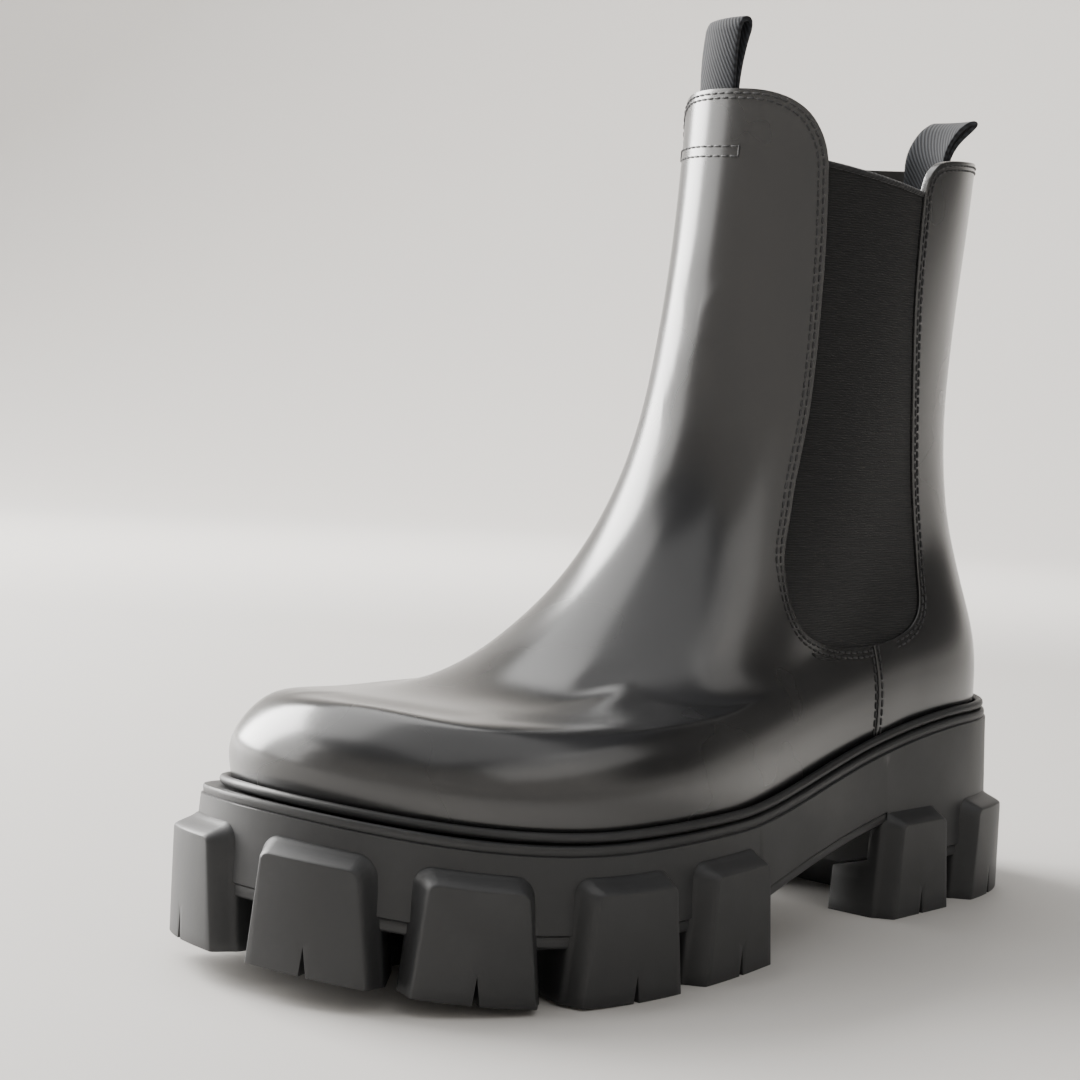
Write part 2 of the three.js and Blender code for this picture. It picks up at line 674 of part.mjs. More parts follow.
const inset = UPPER_WALL + 2 * CLEARANCE + TAPE_THICKNESS;
const frontLoop = pullLoop({
  foot: [upperPoint(0.5, 0.98, inset)[0], LEG_BASE + FRONT_RISE],
  aside: FRONT_LOOP_ASIDE,
  rise: FRONT_LOOP_RISE,
  lean: FRONT_LOOP_LEAN,
  facing: 1,
});
const backLoop = pullLoop({
  foot: [upperPoint(0, 0.9, inset)[0], sideView(COLLAR_LINE[0])[1]],
  aside: 0,
  rise: BACK_LOOP_RISE,
  lean: BACK_LOOP_LEAN,
  facing: -1,
});

const boot = new THREE.Group();
boot.add(
  meshOf("sole_unit", soleUnit(), RUBBER),
  meshOf("rand", rand(), RUBBER),
  meshOf("insole", insole(), BOARD),
  meshOf("upper", upper(), LEATHER),
  meshOf("gore_outer", gore(1), ELASTIC),
  meshOf("gore_inner", gore(-1), ELASTIC),
  meshOf("pull_loop_front", frontLoop, TAPE),
  meshOf("pull_loop_back", backLoop, TAPE),
);

const box = new THREE.Box3().setFromObject(boot);
boot.position.set(-(box.min.x + box.max.x) / 2, -(box.min.y + box.max.y) / 2, -box.min.z);

export default boot;
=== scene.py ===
"""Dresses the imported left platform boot: leather, elastic, tape, stitching and moulded rubber.

All lengths are metres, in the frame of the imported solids: +X to the toe, +Y to the outer side of
the foot and +Z up. The upper and the sole follow the same shares and sizes as the solids do.
"""

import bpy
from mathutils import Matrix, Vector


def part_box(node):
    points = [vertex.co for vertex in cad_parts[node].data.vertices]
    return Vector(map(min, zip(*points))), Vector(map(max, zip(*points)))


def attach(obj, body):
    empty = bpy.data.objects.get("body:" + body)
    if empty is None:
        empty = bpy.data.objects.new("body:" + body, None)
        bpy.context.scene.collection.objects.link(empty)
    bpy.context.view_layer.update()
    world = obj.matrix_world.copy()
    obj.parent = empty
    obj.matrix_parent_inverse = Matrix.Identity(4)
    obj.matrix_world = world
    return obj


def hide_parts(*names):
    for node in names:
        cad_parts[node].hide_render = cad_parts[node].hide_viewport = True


bl_info = {
    "name": "Platform boot",
    "version": (1, 0, 0),
    "blender": (4, 5, 0),
    "location": "View3D > Sidebar > Boot",
    "description": "Builds the dressed pieces of a left platform boot over its packed solids",
    "category": "Object",
}

import math

import bpy
import numpy as np
from bpy.props import FloatProperty, FloatVectorProperty, PointerProperty
from bpy.types import Operator, Panel, PropertyGroup
from mathutils import Matrix, Vector

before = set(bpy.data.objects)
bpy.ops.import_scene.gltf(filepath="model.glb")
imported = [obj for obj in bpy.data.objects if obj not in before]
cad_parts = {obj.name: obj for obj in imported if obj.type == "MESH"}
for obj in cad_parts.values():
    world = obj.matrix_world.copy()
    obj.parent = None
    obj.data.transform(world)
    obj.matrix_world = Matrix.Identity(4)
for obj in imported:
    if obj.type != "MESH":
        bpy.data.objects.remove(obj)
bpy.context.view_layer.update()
MM = 0.001

# Outline of the wall from above, from the back of the heel along the outer side to the toe and back
# along the inner side: share of the sole's length, share of the ball's width.
OUTLINE = (
    (-0.004, 0.0),
    (0.009, 0.191),
    (0.069, 0.33),
    (0.181, 0.373),
    (0.324, 0.373),
    (0.468, 0.434),
    (0.611, 0.521),
    (0.754, 0.547),
    (0.872, 0.477),
    (0.962, 0.313),
    (1.013, 0.052),
    (0.987, -0.226),
    (0.911, -0.391),
    (0.77, -0.486),
    (0.627, -0.477),
    (0.477, -0.382),
    (0.324, -0.321),
    (0.181, -0.339),
    (0.069, -0.304),
    (0.009, -0.191),
)

# Side lugs: share of the way round the outline, width as a share of the ball's width.
LUGS = (
    (0.0, 0.22),
    (0.077, 0.22),
    (0.138, 0.25),
    (0.292, 0.28),
    (0.353, 0.27),
    (0.414, 0.245),
    (0.47, 0.25),
    (0.53, 0.27),
    (0.592, 0.245),
    (0.653, 0.27),
    (0.714, 0.28),
    (0.863, 0.25),
    (0.924, 0.22),
)

# Tread bars: share of the sole's length, half length as a share of the ball's width.
BARS = (
    (0.1, 0.1),
    (0.2, 0.13),
    (0.6, 0.15),
    (0.69, 0.18),
    (0.78, 0.18),
    (0.87, 0.13),
)

# Sections of the upper, from its foot to its collar: start at the back (share of the sole's length),
# length (shares of the foot's and of the collar's), width (shares of both), height over the lip at
# the front and at the rear (shares of each rise), and how far the sides hang below the line between.
SECTIONS = (
    (0.0, 1.0, 0.0, 1.0, 0.0, 0.0, 0.0, 0.0),
    (0.001, 1.006, 0.0, 1.012, 0.0, 0.035, 0.045, 0.0),
    (0.003, 1.003, 0.0, 1.0, 0.01, 0.07, 0.105, 0.0),
    (0.01, 0.96, 0.015, 0.9, 0.07, 0.125, 0.165, 0.015),
    (0.02, 0.905, 0.035, 0.77, 0.16, 0.148, 0.225, 0.035),
    (0.031, 0.77, 0.09, 0.63, 0.27, 0.144, 0.285, 0.05),
    (0.041, 0.64, 0.17, 0.5, 0.37, 0.163, 0.345, 0.06),
    (0.048, 0.505, 0.28, 0.38, 0.48, 0.218, 0.405, 0.055),
    (0.052, 0.37, 0.4, 0.27, 0.58, 0.3, 0.465, 0.042),
    (0.053, 0.262, 0.515, 0.18, 0.67, 0.395, 0.53, 0.028),
    (0.05, 0.178, 0.632, 0.11, 0.76, 0.503, 0.6, 0.015),
    (0.045, 0.113, 0.755, 0.06, 0.84, 0.62, 0.68, 0.005),
    (0.038, 0.06, 0.862, 0.02, 0.92, 0.745, 0.775, 0.0),
    (0.031, 0.02, 0.95, 0.0, 0.98, 0.875, 0.885, 0.0),
    (0.026, 0.0, 0.995, 0.0, 1.0, 1.03, 1.03, 0.0),
)

# Lines in the side view: share of the collar's length from its back, share of the front rise.
BACK_TOP = (
    (-0.3, 0.94),
    (0.1, 0.94),
    (0.3, 0.933),
    (0.41, 0.925),
    (0.46, 0.916),
    (0.492, 0.899),
    (0.508, 0.873),
)
GORE_TOP = ((0.3, 0.8555), (0.5, 0.872), (0.84, 0.9), (1.0, 0.9132))
FRONT_TOP = (
    (0.84, 0.9),
    (0.846, 0.92),
    (0.86, 0.943),
    (0.885, 0.967),
    (0.92, 0.985),
    (0.96, 0.996),
    (1.0, 1.0),
    (1.05, 1.0),
    (1.15, 1.0),
    (1.4, 1.0),
)
GORE = (
    (0.84, 1.1),
    (0.84, 0.95),
    (0.84, 0.75),
    (0.875, 0.55),
    (0.95, 0.4),
    (1.0, 0.3),
    (0.95, 0.215),
    (0.72, 0.185),
    (0.46, 0.215),
    (0.39, 0.3),
    (0.43, 0.48),
    (0.5, 0.72),
    (0.51, 0.95),
    (0.51, 1.1),
)
SEAM_TOP = (0.62, 0.19)

# Walking creases: height (mm, a trough is negative), half width (mm), and the places
# it runs through (share of the way round, share of the way up).
CREASES = (
    (-1.1, 7.5, ((0.53, 0.28), (0.514, 0.285), (0.474, 0.297), (0.447, 0.294), (0.43, 0.31))),
    (
        0.5,
        4.0,
        ((0.522, 0.223), (0.494, 0.24), (0.474, 0.252), (0.445, 0.241), (0.422, 0.234), (0.401, 0.246)),
    ),
    (-0.7, 5.0, ((0.43, 0.39), (0.425, 0.43), (0.41, 0.46))),
    (0.4, 5.0, ((0.408, 0.36), (0.402, 0.4), (0.395, 0.44))),
    (-0.35, 7.0, ((0.46, 0.72), (0.485, 0.735), (0.515, 0.73))),
    (0.3, 7.0, ((0.455, 0.77), (0.485, 0.785), (0.52, 0.775))),
    (-0.3, 8.0, ((0.47, 0.835), (0.49, 0.84), (0.52, 0.83))),
)
CREASE_STEPS = 80

# The stitches that hold the front pull loop: rows as share of the way round and share of the way up.
TAB_BOX = (
    ((0.461, 0.939), (0.53, 0.94), (0.6, 0.939)),
    ((0.461, 0.946), (0.53, 0.947), (0.6, 0.946)),
    ((0.461, 0.939), (0.461, 0.9425), (0.461, 0.946)),
    ((0.6, 0.939), (0.6, 0.9425), (0.6, 0.946)),
)

# Painted shade: the side of the backdrop that the heel mirrors is painted dark, in place of the
# unlit side of the room: its direction from the boot, how far out it starts and is full (metres),
# and its tone by the floor's.
PAINTED_SHADE_SIDE = (-0.92, 0.39)
PAINTED_SHADE_FADE = (2.5, 2.95)
PAINTED_SHADE_TONE = 0.12

# The lights round the boot: turn and rise (degrees) and distance, width and height, power, colour.
# The last one turns away from the boot and washes the backdrop behind it.
LIGHTS = {
    "window": ((-76, 25, 2.2), (1.4, 1.8), 215.0, (1.0, 0.985, 0.96)),
    "side_window": ((-36, 22, 2.2), (1.1, 1.6), 22.0, (1.0, 0.985, 0.96)),
    "ceiling": ((-82, 66, 2.2), (2.6, 1.3), 34.0, (1.0, 0.99, 0.97)),
    "overhead": ((90, 74, 2.3), (2.4, 1.8), 12.0, (1.0, 0.99, 0.97)),
    "fill": ((112, 40, 2.3), (2.2, 0.9), 6.5, (1.0, 0.98, 0.95)),
    "backdrop_wash": ((-141, 38, 1.6), (1.2, 0.8), 50.0, (1.0, 0.975, 0.945)),
}
BOOT_MIDDLE = Vector((0.0, 0.0, 0.12))
BACKDROP_MIDDLE = Vector((-2.5, -2.0, 0.25))
ROOM_COLOUR, ROOM_STRENGTH = (0.93, 0.95, 1.0, 1.0), 0.2

# The round floor: how far it is flat, the radius of its bend, and the heights of its wall.
FLOOR_FLAT, FLOOR_BEND, WALL_ROWS = 2.0, 1.2, (2.4, 3.2)

# Faces of a leather piece: across it, up its seam, up its gore's edge and along its gore's foot.
LEATHER_ROWS = {"front": (200, 40, 95, 26), "back": (90, 40, 95, 22)}

# The raised lap of a side seam: it swells over this stretch behind the seam, and fades out above it.
LAP_START, LAP_END, LAP_FADE = 26 * MM, 2 * MM, 6 * MM

# Rows of stitches: in from an edge of the leather, and ahead of the side seam. How far a thread
# stands out of the leather is a share of its thickness.
EDGE_ROWS = (1.4 * MM, 2.9 * MM)
SEAM_ROWS = (0.9 * MM, -1.6 * MM)
THREAD_PROUD = 0.15
STITCH_FILL = 0.82

# How far an elastic panel runs in behind the edge of the leather, and how deep its hem is.
GORE_HIDDEN = 4 * MM
HEM_DROP = 1.5 * MM

# How far the tops of the pull loops lean towards the heel.
FRONT_LOOP_LEAN, BACK_LOOP_LEAN = -4 * MM, -17 * MM

# The rounded edge of a lug's face: how far its outline has grown, and its share of the stand-out.
LUG_EDGE = (
    (1.12, 0.02),
    (1.0, 0.16),
    (0.86, 0.24),
    (0.7, 0.38),
    (0.5, 0.6),
    (0.3, 0.81),
    (0.16, 0.93),
    (0.06, 0.985),
    (0.0, 1.0),
)
LUG_SIDE_POINTS = 12

# Shares of the sole's length: where the lip starts and ends its fall, and where the toe springs up.
LIP_FALL = (0.12, 0.58)
SPRING_START = 0.74


def length(name, description, default):
    return FloatProperty(
        name=name, description=description, default=default, min=0.0, unit="LENGTH", subtype="DISTANCE"
    )


def tone(name, description, default):
    return FloatVectorProperty(
        name=name, description=description, default=default, min=0.0, max=1.0, size=3, subtype="COLOR"
    )


class BootSizes(PropertyGroup):
    sole_length: length("Sole length", "Wall of the sole without its lugs", 300 * MM)
    ball_width: length("Ball width", "Wall of the sole at the ball of the foot", 124 * MM)
    forefoot_height: length("Forefoot height", "Ground to lip under the ball", 40 * MM)
    heel_height: length("Heel height", "Ground to lip at the heel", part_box("sole_unit")[1].z)
    toe_spring: length("Toe spring", "How far the tip of the toe curves up", 9 * MM)
    tread_depth: length("Tread depth", "Ground to the lower edge of the wall", 14 * MM)
    arch_height: length("Arch height", "Ground to the wall at the breast of the heel", 29 * MM)
    breast: length("Breast", "Back of the sole to the front of the heel", 87.6 * MM)
    arch_front: length("Arch front", "Back of the sole to the front of the arch", 163.5 * MM)
    wall_flare: length("Wall flare", "Lean of the wall from lip to foot", 1.6 * MM)
    step_depth: length("Step depth", "Set-back of the bands of the wall", 0.5 * MM)
    top_band: length("Top band", "Height of the upper band", 2.8 * MM)
    foot_band: length("Foot band", "Height of the lower band", 3.4 * MM)
    lug_proud: length("Lug stand-out", "How far a lug stands out from the wall", 6.8 * MM)
    lug_height: length("Lug height", "Ground to the top of a lug", 32 * MM)
    lug_shoulder: length("Lug shoulder", "Height of a lug's sloping top", 3.2 * MM)
    lug_reach: length("Lug reach", "How far a lug runs in under the sole", 15 * MM)
    lug_taper: FloatProperty(
        name="Lug taper",
        description="Width at its top by width at the ground",
        default=0.76,
    )
    lug_facet: length("Lug facet", "Extra width where a lug meets the wall", 2.6 * MM)
    notch_height: length("Notch height", "Wedge cut up into a lug", 8 * MM)
    notch_width: length("Notch width", "Width of the wedge at the ground", 2.2 * MM)
    bar_width: length("Bar width", "Tread bars under the middle", 11 * MM)
    ledge: length("Ledge", "Edge of the lip in to the upper", 4.9 * MM)
    rand_thickness: length("Rand thickness", "Bead along the join", 2.8 * MM)
    insole_thickness: length("Insole thickness", "Footbed board", 4 * MM)
    upper_wall: length("Upper wall", "Leather and lining together", 2.4 * MM)
    front_rise: length("Front rise", "Lip to the top of the front piece", 206 * MM)
    back_rise: length("Back rise", "Lip to the top of the back piece", 189.93 * MM)
    collar_length: length("Collar length", "Collar from back to front", 119 * MM)
    collar_width: length("Collar width", "Collar across", 76 * MM)
    gore_recess: length("Gore recess", "Elastic below the face of the leather", 1.1 * MM)
    gore_wall: length("Gore wall", "Thickness of the elastic", 1.3 * MM)
    seam_width: length("Seam width", "Lap of the side seam", 7 * MM)
    seam_proud: length("Seam stand-out", "Lap over the face of the leather", 0.6 * MM)
    tape_width: length("Tape width", "Width of the pull loops", 16 * MM)
    tape_thickness: length("Tape thickness", "Thickness of the pull loops", 1.5 * MM)
    tape_tuck: length("Tape tuck", "Loop inside the collar", 17 * MM)
    front_loop_rise: length("Front loop rise", "Loop over the front piece", 23 * MM)
    back_loop_rise: length("Back loop rise", "Loop over the back piece", 18 * MM)
    loop_open: length("Loop opening", "Half the opening of a loop", 1.8 * MM)
    clearance: length("Clearance", "Between pieces that meet", 0.3 * MM)
    stitch_pitch: length("Stitch pitch", "From one stitch to the next", 2.9 * MM)
    thread: length("Thread", "Thickness of the sewing thread", 0.72 * MM)


class BootColours(PropertyGroup):
    leather: tone("Leather", "Polished upper", (0.0075, 0.0075, 0.008))
    lining: tone("Lining", "Inside of the upper", (0.02, 0.019, 0.018))
    elastic: tone("Elastic", "Gores", (0.0105, 0.0105, 0.011))
    tape: tone("Tape", "Pull loops", (0.014, 0.0155, 0.019))
    rubber: tone("Rubber", "Sole", (0.019, 0.0195, 0.0205))
    thread: tone("Thread", "Sewing thread", (0.014, 0.014, 0.015))
    binding: tone("Binding", "Edge of the gores", (0.009, 0.009, 0.01))
    floor: tone("Floor", "Floor and backdrop", (0.52, 0.506, 0.488))


def weights(t):
    """Weights of the four corners round a place t on a smooth curve."""
    s = 1 - t
    return (
        s**3 / 6,
        (3 * t**3 - 6 * t**2 + 4) / 6,
        (3 * s**3 - 6 * s**2 + 4) / 6,
        t**3 / 6,
    )


def smooth(low, high, value):
    t = np.clip((value - low) / (high - low), 0, 1)
    return t * t * (3 - 2 * t)


def closed_curve(corners, share):
    """Points of a smooth closed curve at shares of its corners."""
    count = len(corners)
    at = np.mod(share, 1) * count
    first = np.floor(at).astype(int)
    return sum(w[..., None] * corners[(first + k - 1) % count] for k, w in enumerate(weights(at - first)))


def smooth_line(corners, count):
    """A smooth line that passes through its corners."""
    corners = np.array(corners, float)
    last = len(corners) - 1
    t = np.linspace(0, last, count)
    i = np.minimum(t.astype(int), last - 1)
    t = (t - i)[:, None]
    a, b = corners[i], corners[i + 1]
    before, after = corners[np.maximum(i - 1, 0)], corners[np.minimum(i + 2, last)]
    u, v = (b - before) / 2, (after - a) / 2
    return (2 * a - 2 * b + u + v) * t**3 + (3 * b - 3 * a - 2 * u - v) * t**2 + u * t + a


def travelled(line):
    return np.concatenate([[0], np.cumsum(np.linalg.norm(np.diff(line, axis=0), axis=1))])


def evenly(line, count):
    """The line again, as evenly spaced points."""
    way = travelled(line)
    at = np.linspace(0, way[-1], count)
    return np.stack([np.interp(at, way, column) for column in line.T], -1)


def grown(line, by):
    """A side-view line moved sideways, to the left of its own direction."""
    ahead = np.gradient(line, axis=0)
    ahead /= np.linalg.norm(ahead, axis=1)[:, None]
    return line + np.stack([-ahead[:, 1], ahead[:, 0]], -1) * by


class Last:
    """The boot's form: the wall of the sole and the face of the upper, from sizes and shares."""

    def __init__(self, size):
        self.size = size
        scale = np.array([size.sole_length, size.ball_width])
        self.wall_corners = np.array(OUTLINE) * scale
        line = closed_curve(self.wall_corners, np.linspace(0, 1, 801))
        self.wall_line, self.wall_way = line, travelled(line)
        self.girth = self.wall_way[-1]
        across = np.roll(line[:-1], -2, 0) - np.roll(line[:-1], 3, 0)
        across = np.append(across, across[:1], 0)
        across /= np.linalg.norm(across, axis=1)[:, None]
        self.wall_out = np.stack([-across[:, 1], across[:, 0]], -1)
        self.rings = self.make_rings()
        self.collar_back = self.rings[-2, 0, 0]
        self.leg_base = float(self.lip(self.collar_back + size.collar_length))
        loop_low, loop_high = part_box("pull_loop_back")
        self.place = np.zeros(3)
        self.place[0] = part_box("sole_unit")[0].x - self.wall(0.0, size.lug_proud)[0]
        self.place[1] = (loop_low.y + loop_high.y) / 2

    def spring(self, x):
        size = self.size
        past = (x / size.sole_length - SPRING_START) / (1 - SPRING_START)
        return size.toe_spring * np.clip(past, 0, 1) ** 2

    def lip(self, x):
        size = self.size
        t = smooth(*LIP_FALL, x / size.sole_length)
        return size.heel_height + (size.forefoot_height - size.heel_height) * t + self.spring(x)

    def wall(self, share, out):
        """Point of the wall at a share of its girth, moved out by a distance."""
        way = np.mod(share, 1) * self.girth
        point = np.stack([np.interp(way, self.wall_way, c) for c in self.wall_line.T], -1)
        aside = np.stack([np.interp(way, self.wall_way, c) for c in self.wall_out.T], -1)
        return point + aside * np.asarray(out)[..., None]

    def inset(self, distance):
        corners = self.wall_corners
        across = np.roll(corners, -1, 0) - np.roll(corners, 1, 0)
        across /= np.linalg.norm(across, axis=1)[:, None]
        return corners + np.stack([across[:, 1], -across[:, 0]], -1) * distance

    def make_rings(self):
        """Corners of each section of the upper, with one ring more beyond each end."""
        size = self.size
        foot = self.inset(size.ledge)
        count = len(foot)
        back = foot[0, 0]
        fit = (size.sole_length - 2 * size.ledge) / (foot[count // 2, 0] - back)
        turn = 2 * np.pi * np.arange(count) / count
        growth = 3 / (2 + math.cos(2 * math.pi / count))
        share = (1 - np.cos(turn)) / 2
        rings = []
        for start, foot_long, leg_long, foot_wide, leg_wide, front, rear, dip in SECTIONS:
            x = back + start * size.sole_length + (foot[:, 0] - back) * foot_long * fit
            x = x + (1 - np.cos(turn) * growth) / 2 * leg_long * size.collar_length
            y = foot[:, 1] * foot_wide + np.sin(turn) * growth * leg_wide * size.collar_width / 2
            rise = (1 - share) * rear * size.back_rise + share * front * size.front_rise
            rise = rise - dip * size.front_rise * np.sin(turn) ** 2
            rings.append(np.stack([x, y, rise], -1))
        rings = [2 * rings[0] - rings[1], *rings, 2 * rings[-1] - rings[-2]]
        return np.array(rings)

    def face(self, around, high):
        """Outer face of the upper. around: share from the back along the outer side. high: 0 to 1."""
        around, high = np.broadcast_arrays(np.asarray(around, float), np.asarray(high, float))
        last = len(SECTIONS) - 1
        count = len(OUTLINE)
        at = np.clip(high, 0, 1) * last
        row = np.minimum(np.floor(at), last - 1).astype(int)
        spot = np.mod(around, 1) * count
        column = np.floor(spot).astype(int)
        point = np.zeros(around.shape + (3,))
        for j, up in enumerate(weights(at - row)):
            for k, beside in enumerate(weights(spot - column)):
                point += (up * beside)[..., None] * self.rings[row + j, (column + k - 1) % count]
        point[..., 2] += self.lip(point[..., 0]) + self.size.clearance
        return point

    def outward(self, around, high):
        step = 1e-3
        a = self.face(around + step, high) - self.face(around - step, high)
        b = self.face(around, np.minimum(high + step, 1)) - self.face(around, np.maximum(high - step, 0))
        normal = np.cross(b, a)
        return normal / np.linalg.norm(normal, axis=-1)[..., None]

    def creased(self, point):
        """How far the walking creases move points of the face outwards."""
        moved = np.zeros(point.shape[:-1])
        for height, wide, places in CREASES:
            places = smooth_line(places, CREASE_STEPS)
            line = self.face(places[:, 0], places[:, 1])
            fade = np.sin(np.linspace(0.12, math.pi - 0.12, len(line))) ** 0.7
            away = np.full(moved.shape, np.inf)
            strong = np.zeros(moved.shape)
            for spot, share in zip(line, fade):
                gap = np.linalg.norm(point - spot, axis=-1)
                strong = np.where(gap < away, share, strong)
                away = np.minimum(gap, away)
            moved += height * MM * strong * np.exp(-((away / (wide * MM)) ** 2))
        return moved

    def upper(self, around, high, out=0.0):
        """Point of the dressed upper in the frame, moved out from its face."""
        around, high = np.broadcast_arrays(np.asarray(around, float), np.asarray(high, float))
        point = self.face(around, high)
        out = out + self.creased(point)
        return point + self.outward(around, high) * out[..., None] + self.place

    def side(self, shares):
        size = self.size
        shares = np.array(shares, float)
        start = np.array([self.collar_back, self.leg_base])
        return start + shares * np.array([size.collar_length, size.front_rise])

    def find(self, line, inner):
        """Places (around, high) of side-view points on one side of the upper."""
        around, high = np.meshgrid(np.linspace(0.01, 0.49, 97), np.linspace(0, 1, 141))
        if inner:
            around = -around
        known = self.face(around, high)[..., (0, 2)]
        place = np.zeros((len(line), 2))
        for i, point in enumerate(line):
            near = np.argmin(((known - point) ** 2).sum(-1))
            place[i] = around.flat[near], high.flat[near]
        step = 1e-5
        for _ in range(12):
            at = self.face(place[:, 0], place[:, 1])[:, (0, 2)]
            by_around = (self.face(place[:, 0] + step, place[:, 1])[:, (0, 2)] - at) / step
            by_high = (self.face(place[:, 0], place[:, 1] + step)[:, (0, 2)] - at) / step
            missing = line - at
            size = by_around[:, 0] * by_high[:, 1] - by_around[:, 1] * by_high[:, 0]
            place[:, 0] += (missing[:, 0] * by_high[:, 1] - missing[:, 1] * by_high[:, 0]) / size
            place[:, 1] += (by_around[:, 0] * missing[:, 1] - by_around[:, 1] * missing[:, 0]) / size
            place[:, 1] = np.clip(place[:, 1], 0, 1 - 2 * step)
        return place

    def under(self, around, level):
        """Heights (high) at which the upper meets a level z(x) above it."""
        low, top = np.full(len(around), 0.5), np.ones(len(around))
        for _ in range(40):
            middle = (low + top) / 2
            point = self.face(around, middle)
            below = point[:, 2] < level(point[:, 0])
            low, top = np.where(below, middle, low), np.where(below, top, middle)
        return low

    def upright(self, x, top, inner, count):
        """The seam: places at one x, from the foot of the upper to a height share."""
        high = np.linspace(0, top, count)
        low, far = np.full(count, 0.01), np.full(count, 0.49)
        sign = -1 if inner else 1
        for _ in range(40):
            middle = (low + far) / 2
            behind = self.face(sign * middle, high)[:, 0] < x
            low, far = np.where(behind, middle, low), np.where(behind, far, middle)
        return np.stack([sign * low, high], -1)


class Edges:
    """Edges of the leather pieces as places (around, high) on the last, set in by a distance."""

    def __init__(self, last):
        self.gore = last.side(smooth_line(GORE, 1200))
        self.tops = {
            "front": last.side(smooth_line(FRONT_TOP, 500)),
            "back": last.side(smooth_line(BACK_TOP, 400)),
        }
        self.gore_top = last.side(GORE_TOP)
        self.seam = last.side(SEAM_TOP)

    def top(self, piece, inset=0.0):
        line = grown(self.tops[piece], -inset)
        return lambda x: np.interp(x, line[:, 0], line[:, 1])

    def side_line(self, piece, inset, seam_x):
        """One side's edge in the side view, from the seam along the gore's foot and up to the top."""
        line = grown(self.gore, inset)
        front = piece == "front"
        foot = slice(len(line) // 4, 3 * len(line) // 4)
        start = np.argmin(abs(line[foot, 0] - seam_x)) + foot.start
        half = line[: start + 1][::-1] if front else line[start:]
        top = grown(self.tops[piece], -inset)
        if not front:
            top = top[::-1]
        steep = abs(np.gradient(top[:, 1])) > abs(np.gradient(top[:, 0]))
        rounded = top[steep]
        half = half[: np.argmax(half[:, 1] > rounded[0, 1])]
        return np.append(half, rounded[rounded[:, 1] > half[-1, 1]], 0)

    def corner(self, line):
        """Where the gore's foot turns up: the first point that climbs at 45 degrees."""
        ahead = np.gradient(evenly(line, len(line)), axis=0)
        return int(np.argmax(ahead[:, 1] > abs(ahead[:, 0])))


def patch(left, right, bottom, top):
    """Places inside four edges: left and right go up, bottom and top go across."""
    columns = len(bottom)
    left_way, right_way = travelled(left), travelled(right)
    v = (left_way / left_way[-1] / 2 + right_way / right_way[-1] / 2)[:, None, None]
    u = np.linspace(0, 1, columns)[None, :, None]
    corners = (
        (1 - u) * (1 - v) * bottom[0] + u * (1 - v) * bottom[-1] + (1 - u) * v * top[0] + u * v * top[-1]
    )
    sides = (1 - u) * left[:, None] + u * right[:, None]
    return sides + (1 - v) * bottom[None] + v * top[None] - corners


def clear_selection():
    if bpy.context.object and bpy.context.object.mode != "OBJECT":
        bpy.ops.object.mode_set(mode="OBJECT")
    bpy.ops.object.select_all(action="DESELECT")


def take(piece):
    clear_selection()
    piece.select_set(True)
    bpy.context.view_layer.objects.active = piece
    return piece


def named(piece, name):
    piece.name = name
    piece.data.name = name
    return piece


def laid_grid(name, points):
    """A grid primitive laid on rows of points, so that its faces look away from rows by columns."""
    rows, columns = points.shape[:2]
    clear_selection()
    bpy.ops.mesh.primitive_grid_add(x_subdivisions=columns - 1, y_subdivisions=rows - 1, size=2)
    piece = named(bpy.context.object, name)
    flat = np.zeros(len(piece.data.vertices) * 3)
    piece.data.vertices.foreach_get("co", flat)
    flat = flat.reshape(-1, 3)
    column = np.rint((flat[:, 0] + 1) / 2 * (columns - 1)).astype(int)
    row = np.rint((flat[:, 1] + 1) / 2 * (rows - 1)).astype(int)
    piece.data.vertices.foreach_set("co", points[row, column].ravel())
    piece.data.update()
    return piece


def joined(name, pieces):
    take(pieces[0])
    for piece in pieces[1:]:
        piece.select_set(True)
    bpy.ops.object.join()
    return named(bpy.context.object, name)


def in_edit(piece, *steps):
    """Edit-mode steps on everything that the piece has."""
    take(piece)
    bpy.ops.object.mode_set(mode="EDIT")
    bpy.ops.mesh.select_all(action="SELECT")
    for step in steps:
        step()
    bpy.ops.object.mode_set(mode="OBJECT")
    return piece


def weld():
    bpy.ops.mesh.remove_doubles(threshold=0.02 * MM)


def flip():
    bpy.ops.mesh.flip_normals()


def outside():
    bpy.ops.mesh.normals_make_consistent(inside=False)


def modify(piece, kind, **settings):
    take(piece)
    modifier = piece.modifiers.new(kind.title(), kind)
    for key, value in settings.items():
        setattr(modifier, key, value)
    bpy.ops.object.modifier_apply(modifier=modifier.name)
    return piece


def soften(piece, width, segments=3, angle=40):
    return modify(
        piece,
        "BEVEL",
        width=width,
        segments=segments,
        limit_method="ANGLE",
        angle_limit=math.radians(angle),
        use_clamp_overlap=True,
    )


def finish_piece(piece, slot, *nodes, smooth_angle=50):
    take(piece)
    bpy.ops.object.shade_smooth_by_angle(angle=math.radians(smooth_angle))
    if nodes:
        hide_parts(*nodes)
    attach(piece, "root")
    return piece


